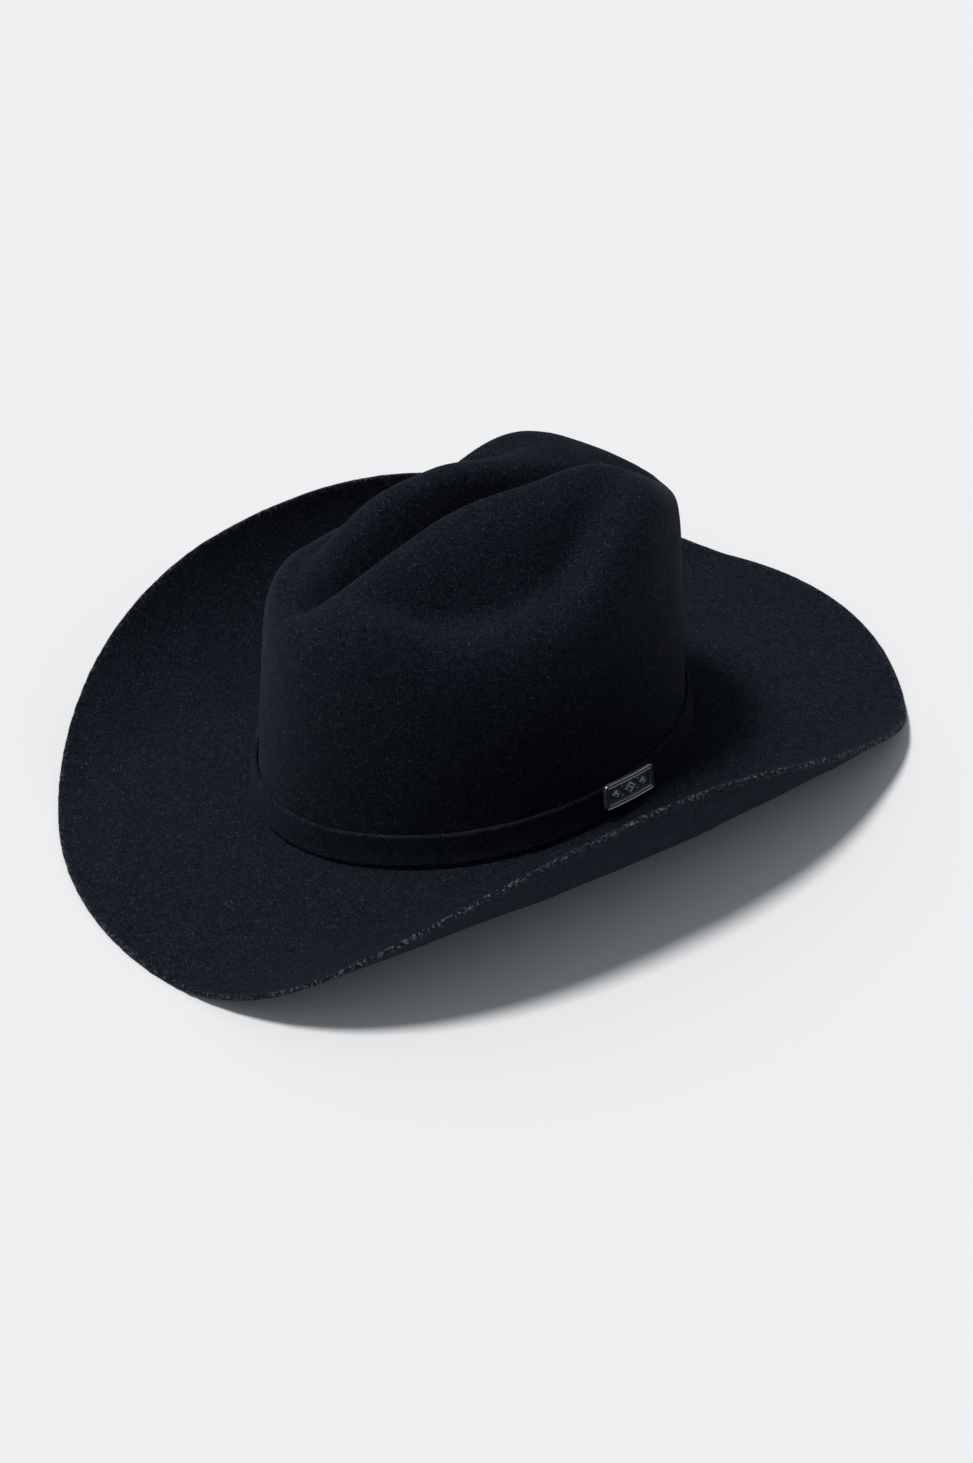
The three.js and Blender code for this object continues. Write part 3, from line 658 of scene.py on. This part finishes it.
def nap_fibres(skin, look):
    """Wool ends that lie on the felt and stand a little off it."""
    quads = np.array([f for f in skin.faces if len(f) == 4])
    corner = skin.points[quads]
    diagonals = corner[:, 2] - corner[:, 0], corner[:, 3] - corner[:, 1]
    area = np.linalg.norm(np.cross(*diagonals), axis=1)
    count = NAP_FIBRES
    chosen = RANDOM.choice(len(quads), count, p=area / area.sum())
    share = RANDOM.random((count, 2))
    a, b, c, d = (corner[chosen, k] for k in range(4))
    roots = lerp(lerp(a, b, share[:, :1]), lerp(d, c, share[:, :1]), share[:, 1:])
    normals = skin.normals[quads[chosen, 0]]
    along = unit(np.cross(normals, unit(RANDOM.normal(size=(count, 3)))))
    lift = RANDOM.uniform(0.02, 0.42, (count, 1)) ** 1.3
    starts = unit(along + normals * lift)
    sides = unit(np.cross(normals, starts))
    lengths = RANDOM.uniform(0.5, 2.2, count)
    bend = unit(RANDOM.normal(size=(count, 3))) * 0.6 - normals * 0.25
    fibre_piece("nap_fibres", look, 0.24, roots + normals * 0.02, starts, sides, lengths, bend,
                RANDOM.uniform(0.05, 0.10, count))


def edge_fibres(name, line, out, up, look, per_mm, pale_share, reach=(0.35, 1.2)):
    """Wool ends along a cut edge: line is a closed row of points."""
    steps = np.linalg.norm(np.roll(line, -1, 0) - line, axis=1)
    count = int(steps.sum() * per_mm)
    start = RANDOM.choice(len(line), count, p=steps / steps.sum())
    share = RANDOM.random((count, 1))
    after = (start + 1) % len(line)
    away, over = out[start], up[start]
    height = RANDOM.uniform(-1, 1, (count, 1))
    roots = lerp(line[start], line[after], share) + over * height
    along = unit(line[after] - line[start])
    slant = RANDOM.normal(size=(count, 1))
    starts = unit(away * RANDOM.uniform(0.3, 1, (count, 1)) + along * slant + over * height * 0.5)
    sides = unit(np.cross(starts, unit(RANDOM.normal(size=(count, 3)))))
    bend = unit(RANDOM.normal(size=(count, 3))) * 0.7
    fibre_piece(name, look, pale_share, roots, starts, sides, RANDOM.uniform(*reach, count), bend,
                RANDOM.uniform(0.05, 0.12, count))


# ---- strips on the crown's wall

WALL_SAMPLES = np.linspace(0, 0.5, 260)


def level_normals(t):
    """Normals of the head's oval at the angles t, level and pointing outwards."""
    normal = head_oval(t)[2]
    return np.concatenate([normal, np.zeros_like(normal[..., :1])], -1)


def wall_at(t, height):
    """Points of the crown's outer face at the angles t and heights above the wall's foot."""
    t, height = np.broadcast_arrays(t, height)
    angles, back = np.unique(t.ravel(), return_inverse=True)
    rows = crown_rows(angles, WALL_SAMPLES)
    points = np.empty((t.size, 3))
    for i, (column, h) in enumerate(zip(back, height.ravel())):
        curve = rows[:, column]
        climb = np.maximum.accumulate(curve[:, 2] - curve[0, 2])
        points[i] = [np.interp(h, climb, axis) for axis in curve.T]
    return points.reshape(t.shape + (3,)), level_normals(t)


def outside_wall(t, out, height):
    points, normals = wall_at(t, height)
    return points + normals * out[..., None]


def inside_wall(t, inset, height):
    """Near the foot the straight part of the wall is carried on down."""
    low, high = 9.0, 20.0
    t, inset, height = np.broadcast_arrays(t, inset, height)
    above = outside_wall(t, -inset, np.maximum(height, low))
    start = outside_wall(t, -inset, np.full(t.shape, low))
    slope = (outside_wall(t, -inset, np.full(t.shape, high)) - start) / (high - low)
    return np.where((height >= low)[..., None], above, start + slope * (height - low)[..., None])


def strip_rows(outline, angles, surface):
    """Sections of [inset, height] points at each angle, as [angle, point, xyz]."""
    inset, height = np.array(outline).T
    return surface(angles[:, None], inset[None], height[None])


def rounded_outline(near, far, bottom, top, radius, steps=4, height_steps=10):
    """Closed outline of a strip's section with rounded corners."""
    radius = min(radius, (far - near) / 2)
    low, high = bottom + radius, top - radius
    levels = np.linspace(high, low, height_steps + 1)[1:-1]
    corners = [(far - radius, high, []), (near + radius, high, [(near, z) for z in levels]),
               (near + radius, low, []), (far - radius, low, [(far, z) for z in levels[::-1]])]
    outline = []
    for quarter, (x, z, side) in enumerate(corners):
        for k in range(steps + 1):
            turn = (quarter + k / steps) * math.pi / 2
            outline.append((x + radius * math.cos(turn), z + radius * math.sin(turn)))
        outline += side
    return outline


def strip_mesh(sections, ring):
    """Points, faces and strip coordinates in mm of a loft through the sections."""
    count, width = sections.shape[:2]
    number = np.arange(count * width).reshape(count, width)
    if ring:
        number = np.concatenate([number, number[:1]])
    faces = grid_faces(number, True)
    points = sections.reshape(-1, 3)
    if not ring:
        for end in (0, count - 1):
            hub = len(points)
            points = np.concatenate([points, sections[end].mean(0)[None]])
            for k in range(width):
                pair = [end * width + k, end * width + (k + 1) % width]
                faces.append([hub, *(pair if end else pair[::-1])])
    along, across = (np.concatenate([[0], np.cumsum(np.linalg.norm(np.diff(line, axis=0), axis=1))])
                     for line in (sections.mean(1), sections[0]))
    strip = np.stack(np.broadcast_arrays(along[:, None], across[None], 0.0), -1).reshape(-1, 3)
    return points, faces, np.concatenate([strip, np.zeros((len(points) - len(strip), 3))])


def strip_angles(joint, gap, count):
    half = gap / 2 / HEAD_HALF_LENGTH
    return np.linspace(joint + half, joint + math.tau - half, count)


def round_sections(line, radius, first, second, sides):
    """Circles about the points of the line, each in the plane of its two directions."""
    turns = steps_round(sides)[None, :, None]
    spokes = np.cos(turns) * first[:, None] + np.sin(turns) * second[:, None]
    return line[:, None] + radius * spokes


def join_meshes(parts):
    """Several (points, faces) as one."""
    points, faces, start = [], [], 0
    for some_points, some_faces in parts:
        points.append(some_points)
        faces += [[i + start for i in f] for f in some_faces]
        start += len(some_points)
    return np.concatenate(points), faces


def stitches(name, lines, radius, thread):
    """A piece of short threads along the lines."""
    parts = []
    for line in lines:
        along = unit(np.gradient(line, axis=0))
        first = unit(np.cross(along, [0.3, 0.5, 0.8]))
        sections = round_sections(line, radius, first, np.cross(along, first), 6)
        parts.append(strip_mesh(sections, False)[:2])
    piece(name, *join_meshes(parts), thread, "ribbon")


# ---- hat band

def hat_band(felt, fibres):
    near, far = BAND["standoff"], BAND["standoff"] + BAND["thickness"]
    outline = rounded_outline(near, far, BAND["bottom"], BAND["top"], 0.75)
    angles = strip_angles(ORNAMENT_ANGLE, 0.6, 421)
    sections = strip_rows(outline, angles, outside_wall)
    outward = level_normals(angles)
    flat, shape = sections.reshape(-1, 3), sections.shape[:2]
    bow_out = np.maximum(ripples(flat, (60, 0.10, 11), (9, 0.05, 12)), -0.2).reshape(shape)
    lift = ripples(flat, (35, 0.14, 13), (4, 0.05, 14)).reshape(shape)
    sections = sections + outward[:, None] * bow_out[..., None]
    sections[..., 2] += lift
    points, faces, _ = strip_mesh(sections, False)
    piece("felt_band", points, faces, felt, "felt", ["hat_band"])
    heights = [z for _, z in outline]
    up = np.tile([0.0, 0.0, 1.0], (len(angles), 1))
    for name, edge, way, per_mm, pale_share in (
            ("band_top_fibres", np.argmax(heights), 1, 9, 0.45),
            ("band_foot_fibres", np.argmin(heights), -1, 3, 0.2)):
        line = sections[:, edge] + outward * 0.5
        edge_fibres(name, line, up * way, outward * 0.9, fibres, per_mm, pale_share, (0.25, 0.9))


# ---- ornament

def wall_axes(t, height, out, tilt=0.0):
    """A frame on the leaning wall: its origin, along the wall, up it and away from the felt.
    Where out is below zero it lies inside the crown and looks inwards."""
    t = np.array([t])
    point, normal = wall_at(t, height)
    above, below = (wall_at(t, height + step)[0] for step in (4, -4))
    up = unit(above - below)[0]
    along = unit(np.cross(up, normal[0]))
    away = np.cross(along, up)
    cos, sin = math.cos(tilt), math.sin(tilt)
    return (point[0] + away * out, cos * along + sin * up, cos * up - sin * along,
            math.copysign(1, out) * away)


def in_frame(axes, local):
    origin, along, up, away = axes
    return origin + local[..., :1] * along + local[..., 1:2] * up + local[..., 2:] * away


def plate_relief(x, y):
    """Height of the plate's face, and how bright it is rubbed: a beaded border, three diamonds."""
    dx, dy = np.abs(x) - PLATE_HALF_X + PLATE_CORNER, np.abs(y) - PLATE_HALF_Y + PLATE_CORNER
    outside = np.hypot(np.maximum(dx, 0), np.maximum(dy, 0)) + np.minimum(np.maximum(dx, dy), 0)
    depth = PLATE_CORNER - outside
    rim = np.exp(-((depth - 0.5) / 0.34) ** 2)
    inner = np.exp(-((depth - 2.05) / 0.30) ** 2)
    border = 1 - smoothstep(depth, 1.95, 2.55)
    height = 0.55 + 0.95 * border + 0.42 * rim + 0.36 * inner
    height *= smoothstep(depth, -0.12, 0.4) * 0.45 + 0.55
    ground = 0.10 * np.sin(4.6 * x + 1.3) * np.sin(4.6 * y) * (1 - border)
    motif = np.zeros_like(x)
    for centre, half_w, half_h in PLATE_DIAMONDS:
        facet = 1 - np.abs(x - centre) / half_w - np.abs(y) / half_h
        bevel = np.clip(facet * 2.4, 0, 1) - 0.55 * smoothstep(facet, 0.42, 0.6)
        boss = np.exp(-(((x - centre) ** 2 + y ** 2) / 0.5))
        motif = np.maximum(motif, bevel + 0.75 * boss * (facet > 0))
    bead_x, bead_y = PLATE_BEAD
    bead = np.exp(-(((np.abs(x) - bead_x) ** 2 + (np.abs(y) - bead_y) ** 2) / 0.45))
    motif = np.maximum(motif, 0.8 * bead)
    height = height + ground + 1.02 * motif * (1 - border)
    rubbed = np.clip(0.85 * rim + 0.8 * inner + 0.75 * motif + 0.30 * border, 0, 1.2)
    return height, rubbed


def ornament_plate(metal, axes):
    """The plate as a fine relief, bent to the crown, with its back and its two studs."""
    columns, rows = 209, 117
    a, b = np.meshgrid(np.linspace(-1, 1, columns), np.linspace(-1, 1, rows))

    def drawn_in(along, half_along, across, half_across):
        """Shares of the grid's half size, which is less at the rounded corners."""
        near_corner = smoothstep(np.abs(across), 1 - 1.5 * PLATE_CORNER / half_across, 1)
        cut = PLATE_CORNER * CORNER_CUT / half_along * near_corner
        return along * half_along * (1 - cut * np.abs(along) ** 12)

    x = drawn_in(a, PLATE_HALF_X, b, PLATE_HALF_Y)
    y = drawn_in(b, PLATE_HALF_Y, a, PLATE_HALF_X)
    height, rubbed = plate_relief(x, y)
    sag = (x ** 2) / (2 * PLATE_BEND)
    front = np.stack([x, y, height - sag], -1)
    back = np.stack([x, y, 0.12 - sag], -1)
    number = np.arange(rows * columns).reshape(rows, columns)
    ring = np.concatenate([number[0], number[1:, -1], number[-1, -2::-1], number[-2:0:-1, 0]])
    offset = rows * columns
    faces = grid_faces(number, False)
    faces += [[i + offset for i in f[::-1]] for f in faces]
    faces += [[int(p), int(p) + offset, int(q) + offset, int(q)]
              for p, q in zip(ring, np.roll(ring, -1))]
    parts = [(np.concatenate([front.reshape(-1, 3), back.reshape(-1, 3)]), faces)]
    tones = [rubbed.ravel(), np.full(offset, 0.3)]
    depths = np.array([0.3, -1, -3, -5, -6.2, -6.5])
    radii = STUD["radius"] * np.array([1.25, 1, 1, 1, 1, 0.7])
    first, second = np.repeat(np.eye(3)[:2, None], len(depths), 1)
    for stud_x in STUD_X.values():
        line = np.stack(np.broadcast_arrays(stud_x, STUD_Y, depths), -1)
        sections = round_sections(line, radii[:, None, None], first, second, 20)
        parts.append(strip_mesh(sections, False)[:2])
        tones.append(np.full(len(parts[-1][0]), 0.45))
    points, faces = join_meshes(parts)
    piece("ornament", in_frame(axes, points), faces, metal, "ornament_metal",
          ["ornament_plate"], tones=np.concatenate(tones))


def push_nuts(steel, axes):
    """Sheet push nuts on the studs: a dished rim with three bent teeth that bite the stud."""
    level = -PLATE["out"] - FELT - NUT["standoff"] - NUT["thickness"]
    turns = steps_round(96)
    toothed = smoothstep(np.cos(3 * turns), -0.2, 0.2)
    bore = lerp(1.55, STUD["radius"] + 0.06, toothed)
    for label, stud_x in STUD_X.items():
        outline = []
        for share, side in NUT_OUTLINE:
            radius = lerp(bore, NUT["radius"], share)
            z = level - 0.35 * (1 - share) ** 1.5 + side * NUT["thickness"]
            x, y = stud_x + radius * np.cos(turns), STUD_Y + radius * np.sin(turns)
            outline.append(np.stack([x, y, z + 0 * turns], -1))
        points, faces, _ = strip_mesh(np.stack(outline, 1), True)
        piece(f"push_nut_{label}", in_frame(axes, points), faces, steel, "nut_steel",
              [f"ornament_nut_{label}"])


# ---- inside the crown

def sweatband(leather, thread):
    near, far = SWEATBAND["inset"], SWEATBAND["inset"] + LEATHER
    outline = rounded_outline(near, far, SWEATBAND["bottom"], SWEATBAND["top"], 0.5, 3, 34)
    angles = strip_angles(math.pi, SWEATBAND["end_gap"], 361)
    sections = strip_rows(outline, angles, inside_wall)
    insets, heights = np.array(outline).T
    facing = (insets > (near + far) / 2).astype(float)
    groove = sum(np.exp(-((heights - SWEATBAND["top"] + below) / 0.35) ** 2)
                 for below in (3.2, 4.6))
    wave = ripple(sections.reshape(-1, 3), 44, 0.09, 21).reshape(sections.shape[:2])
    pushed_in = facing * (wave - 0.28 * groove)
    sections = sections - level_normals(angles)[:, None] * pushed_in[..., None]
    points, faces, _ = strip_mesh(sections, False)
    piece("sweatband_leather", points, faces, leather, "sweatband_leather", ["sweatband"])

    pitch = 2.6 / HEAD_HALF_LENGTH
    span = np.linspace(-0.42, 0.42, 7)
    depth = far - 0.04 + 0.16 * np.cos(span / 0.42 * math.pi / 2)
    lines = [inside_wall(t + span * pitch, depth, 3.3 + span * 0.8)
             for t in np.arange(math.pi + 0.03, math.pi + math.tau - 0.03, pitch)]
    stitches("sweatband_stitching", lines, 0.2, thread)


def reed_and_tape(plastic, ribbon):
    """The rod along the sweatband's lower edge, and the tape folded round it."""
    angles = steps_round(AROUND)[::2]

    def circle(radius, turns):
        return [(REED["inset"] + radius * math.cos(a), REED["height"] + radius * math.sin(a))
                for a in turns]

    rod = strip_rows(circle(REED["radius"], steps_round(14)), angles, inside_wall)
    points, faces, _ = strip_mesh(rod, True)
    piece("sweatband_reed_rod", points, faces, plastic, "reed_plastic", ["sweatband_reed"])

    inner = REED["radius"] + TAPE["gap"]
    outer = inner + TAPE["thickness"]
    under = np.linspace(math.pi, math.tau, 11)
    levels = np.linspace(TAPE["top"], REED["height"] + 0.5, 6)
    outline = ([(REED["inset"] - outer, z) for z in levels] + circle(outer, under)
               + circle(inner, under[::-1]) + [(REED["inset"] - inner, z) for z in levels[::-1]])
    points, faces, strip = strip_mesh(strip_rows(outline, angles, inside_wall), True)
    piece("reed_tape_fold", points, faces, ribbon, "ribbon", ["reed_tape"], strip=strip)


def sweatband_bow(ribbon):
    """A small flat bow: two loops of ribbon drawn into a knot."""
    parts, strips = [], []
    turn = steps_round(48)
    for side in (-1, 1):
        x = side * (BOW["knot"] / 2 - 0.8 + BOW["loop_length"] / 2 * (1 - np.cos(turn)))
        fullness = np.sin(turn) * (0.35 + 0.45 * np.sin(turn / 2) ** 2)
        z = BOW["thickness"] / 2 - 0.3 + fullness
        flare = lerp(0.45, 1.0, np.sin(turn / 2) ** 0.8) * BOW["loop_height"] / 2
        faces_of_ribbon = []
        for thick in (0.0, 0.22):
            rows = []
            for share in np.linspace(-1, 1, 15):
                fold = 0.16 * np.cos(share * 3 * math.pi) * (1 - np.sin(turn / 2))
                outward = thick * np.sign(fullness + 1e-9)
                rows.append(np.stack([x, share * flare, z + fold + outward], -1))
            faces_of_ribbon.append(np.stack(rows, 1))
        front, back = faces_of_ribbon
        points, faces, strip = strip_mesh(np.concatenate([front, back[:, ::-1]], 1), True)
        parts.append((points, faces))
        strips.append(strip)
    turns = steps_round(32)
    half, thickness = BOW["knot"] / 2, BOW["thickness"]
    wrap = []
    for share in np.linspace(-1, 1, 17):
        squeeze = 1 - 0.14 * share ** 2 + 0.05 * math.cos(share * 9)
        rise = (thickness / 2 - 0.05) * squeeze * np.sin(turns)
        across = half * squeeze * np.cos(turns)
        wrap.append(np.stack([half * share + 0 * turns, across, thickness / 2 + rise], -1))
    points, faces, strip = strip_mesh(np.array(wrap), False)
    parts.append((points, faces))
    strips.append(strip[:, [1, 0, 2]])
    points, faces = join_meshes(parts)
    depth = SWEATBAND["inset"] + LEATHER + 0.35 + 1.3
    axes = wall_axes(math.pi, BOW["height"], -depth)
    piece("ribbon_bow", in_frame(axes, points), faces, ribbon, "ribbon", ["sweatband_bow"],
          strip=np.concatenate(strips), closed=False)


def size_label(cloth, thread):
    """A blank woven label on the leather, sewn on along its two short ends."""
    near = SWEATBAND["inset"] + LEATHER + 0.35
    far = near + LABEL["thickness"]
    outline = rounded_outline(near, far, LABEL["bottom"], LABEL["top"], 0.16, 3, 20)
    half = LABEL["width"] / 2 / HEAD_HALF_WIDTH
    shares = np.linspace(-1, 1, 61)
    angles = LABEL["angle"] + half * shares
    puff = 0.15 * (1 - shares ** 8)
    sections = strip_rows(outline, angles, inside_wall)
    sections = sections - (level_normals(angles) * puff[:, None])[:, None]
    points, faces, strip = strip_mesh(sections, False)
    piece("woven_label", points, faces, cloth, "label_cloth", ["size_label"], strip=strip)
    span = np.linspace(-0.5, 0.5, 6)
    depth = far + 0.06 + 0.1 * np.cos(span * math.pi)
    heights = np.arange(LABEL["bottom"] + 0.7, LABEL["top"] - 0.3, 1.5)
    lines = [inside_wall(LABEL["angle"] + end * half * 0.94, depth, height + span)
             for end in (-1, 1) for height in heights]
    stitches("label_stitching", lines, 0.12, thread)


def lining(skin, satin):
    """Side and tip of the lining, with soft puckers away from the leather and the seams."""
    above = smoothstep(skin.points[:, 2], 60, 72)
    pucker = (ripple(skin.points * [1, 1, 0.35], 13, 0.28, 31)
              + ripple(skin.points * [1, 1, 0.3], 6, 0.10, 32))
    depth = FELT + LINING_GAP + above * (0.35 + np.clip(pucker, -0.35, 0.9))
    top, under = skin.at_depth(depth), skin.at_depth(depth + LINING)
    made = []
    panels = (("side", skin.row_of(LINING_START), skin.row_of(SIDE_END) + 1),
              ("tip", skin.row_of(TIP_START), None))
    for label, start, end in panels:
        stack = np.concatenate([top[start:end][::-1], under[start:end]])
        if label == "tip":
            number = crease_numbers(len(stack), AROUND, [0, len(stack) - 1])
        else:
            number = crease_numbers(len(stack) + 1, AROUND, []) % (len(stack) * AROUND)
        faces = grid_faces(number, True)
        made.append(piece(f"lining_{label}_satin", stack.reshape(-1, 3), faces, satin, "satin",
                          [f"lining_{label}"]))
    return made


def lining_piping(skin, ribbon):
    """Covered cord in the seam between the lining's side and its tip."""
    row = skin.row_of((SIDE_END + TIP_START) / 2)
    line = skin.at_depth(FELT + LINING_GAP + PIPING_RADIUS)[row]
    along = unit(np.roll(line, -1, 0) - np.roll(line, 1, 0))
    normal = skin.normals.reshape(skin.rows.shape)[row]
    twist = 0.06 * np.sin(7 * steps_round(14)[None] + np.arange(AROUND)[:, None] * 1.4)
    radius = (PIPING_RADIUS - 0.06 + twist)[..., None]
    sections = round_sections(line, radius, normal, unit(np.cross(along, normal)), 14)
    points, faces, strip = strip_mesh(sections, True)
    piece("piping_cord", points, faces, ribbon, "ribbon", ["lining_piping"], strip=strip)


# ---- the hat

felt = felt_look()
fibres = fibre_look()
black_thread = thread_look("black_thread", (0.012, 0.012, 0.014), (0.05, 0.05, 0.055))
black_ribbon = ribbon_look("black_ribbon", (0.006, 0.006, 0.009), (0.028, 0.028, 0.036))

skin = Skin()
felt_body(skin, felt)
nap_fibres(skin, fibres)
middle_of_edge = skin.at_depth(FELT / 2)[0]
edge_up = skin.normals.reshape(skin.rows.shape)[0]
edge_fibres("brim_edge_fibres", middle_of_edge, skin.edge_out, edge_up, fibres, 7, 0.27)
hat_band(felt, fibres)
on_plate = wall_axes(ORNAMENT_ANGLE, PLATE["centre"], PLATE["out"], PLATE_TILT)
ornament_plate(plate_look(), on_plate)
push_nuts(clouded_look(
    "nut_steel", (0.56, 0.56, 0.57), 0.32, ((0.42, 0.42, 0.43), (0.66, 0.66, 0.67)),
    gloss=(0.24, 0.48), sizes_mm=(1.5, 0.6, 0.2), bump_mm=0.02, Metallic=1.0), on_plate)
sweatband(leather_look(), black_thread)
reed_plastic = clouded_look(
    "reed_plastic", (0.6, 0.6, 0.56), 0.4, ((0.52, 0.51, 0.46), (0.66, 0.66, 0.62)),
    gloss=(0.32, 0.5), sizes_mm=(9, 1.2, 0.7), bump_mm=0.03)
reed_and_tape(reed_plastic, black_ribbon)
sweatband_bow(black_ribbon)
size_label(label_look(), thread_look("pale_thread", (0.42, 0.41, 0.36), (0.6, 0.58, 0.52)))
side_satin, tip_satin = lining(skin, satin_look())
lining_piping(skin, black_ribbon)

# ---- camera, floor and light

# Azimuth, elevation and roll, in degrees
VIEW_ANGLES = (64.02, 35.67, -3.97)
VIEW_DISTANCE = 1216.4
VIEW_TARGET = np.array([0, 0, 50])
VIEW_LENS = 65.49
VIEW_SHIFT = (0.0157, -0.0512)
FLOOR_HALF = 6.0


def add_camera():
    """The camera, fitted to the photo in the hat's own frame."""
    a, e, r = map(math.radians, VIEW_ANGLES)
    back = np.array([math.sin(a) * math.cos(e), -math.cos(a) * math.cos(e), math.sin(e)])
    level = np.array([math.cos(a), math.sin(a), 0])
    rise = np.cross(back, level)
    right = math.cos(r) * level + math.sin(r) * rise
    up = -math.sin(r) * level + math.cos(r) * rise
    tilt = place(np.array([right, up, back])) - place(np.zeros(3))
    matrix = Matrix(unit(tilt).T.tolist()).to_4x4()
    matrix.translation = Vector(place(VIEW_TARGET + VIEW_DISTANCE * back))
    data = bpy.data.cameras.new("camera")
    data.lens = VIEW_LENS
    data.sensor_width = 36
    data.shift_x, data.shift_y = VIEW_SHIFT
    data.clip_end = 50
    camera = add_to_scene("camera", data)
    camera.matrix_world = matrix
    bpy.context.scene.camera = camera


def add_floor():
    mesh = bpy.data.meshes.new("floor")
    corners = ((-1, -1), (1, -1), (1, 1), (-1, 1))
    mesh.from_pydata([(x * FLOOR_HALF, y * FLOOR_HALF, 0) for x, y in corners], [], [(0, 1, 2, 3)])
    look = Look("floor_paper", (0.9, 0.9, 0.905), 0.9, Specular_IOR_Level=0.1)
    mesh.materials.append(look.material)
    floor = add_to_scene("floor", mesh)


def add_sun(direction, size_degrees, strength, color):
    """Light from one direction, as soft as a source of this many degrees across."""
    data = bpy.data.lights.new("key", "SUN")
    data.angle = math.radians(size_degrees)
    data.energy = strength
    data.color = color
    add_to_scene("key", data).rotation_euler = Vector(direction).to_track_quat("Z", "Y").to_euler()


def add_studio():
    """A pale room and one soft light from above the hat's right front."""
    world = bpy.data.worlds.new("studio")
    world.use_nodes = True
    background = world.node_tree.nodes["Background"]
    background.inputs["Color"].default_value = (0.86, 0.96, 1.05, 1)
    background.inputs["Strength"].default_value = 0.275
    scene = bpy.context.scene
    scene.world = world
    scene.view_settings.view_transform = "Standard"
    add_sun((-0.175, -0.255, 0.951), 12, 2.34, (1.02, 1.0, 0.98))


add_camera()
add_floor()
add_studio()
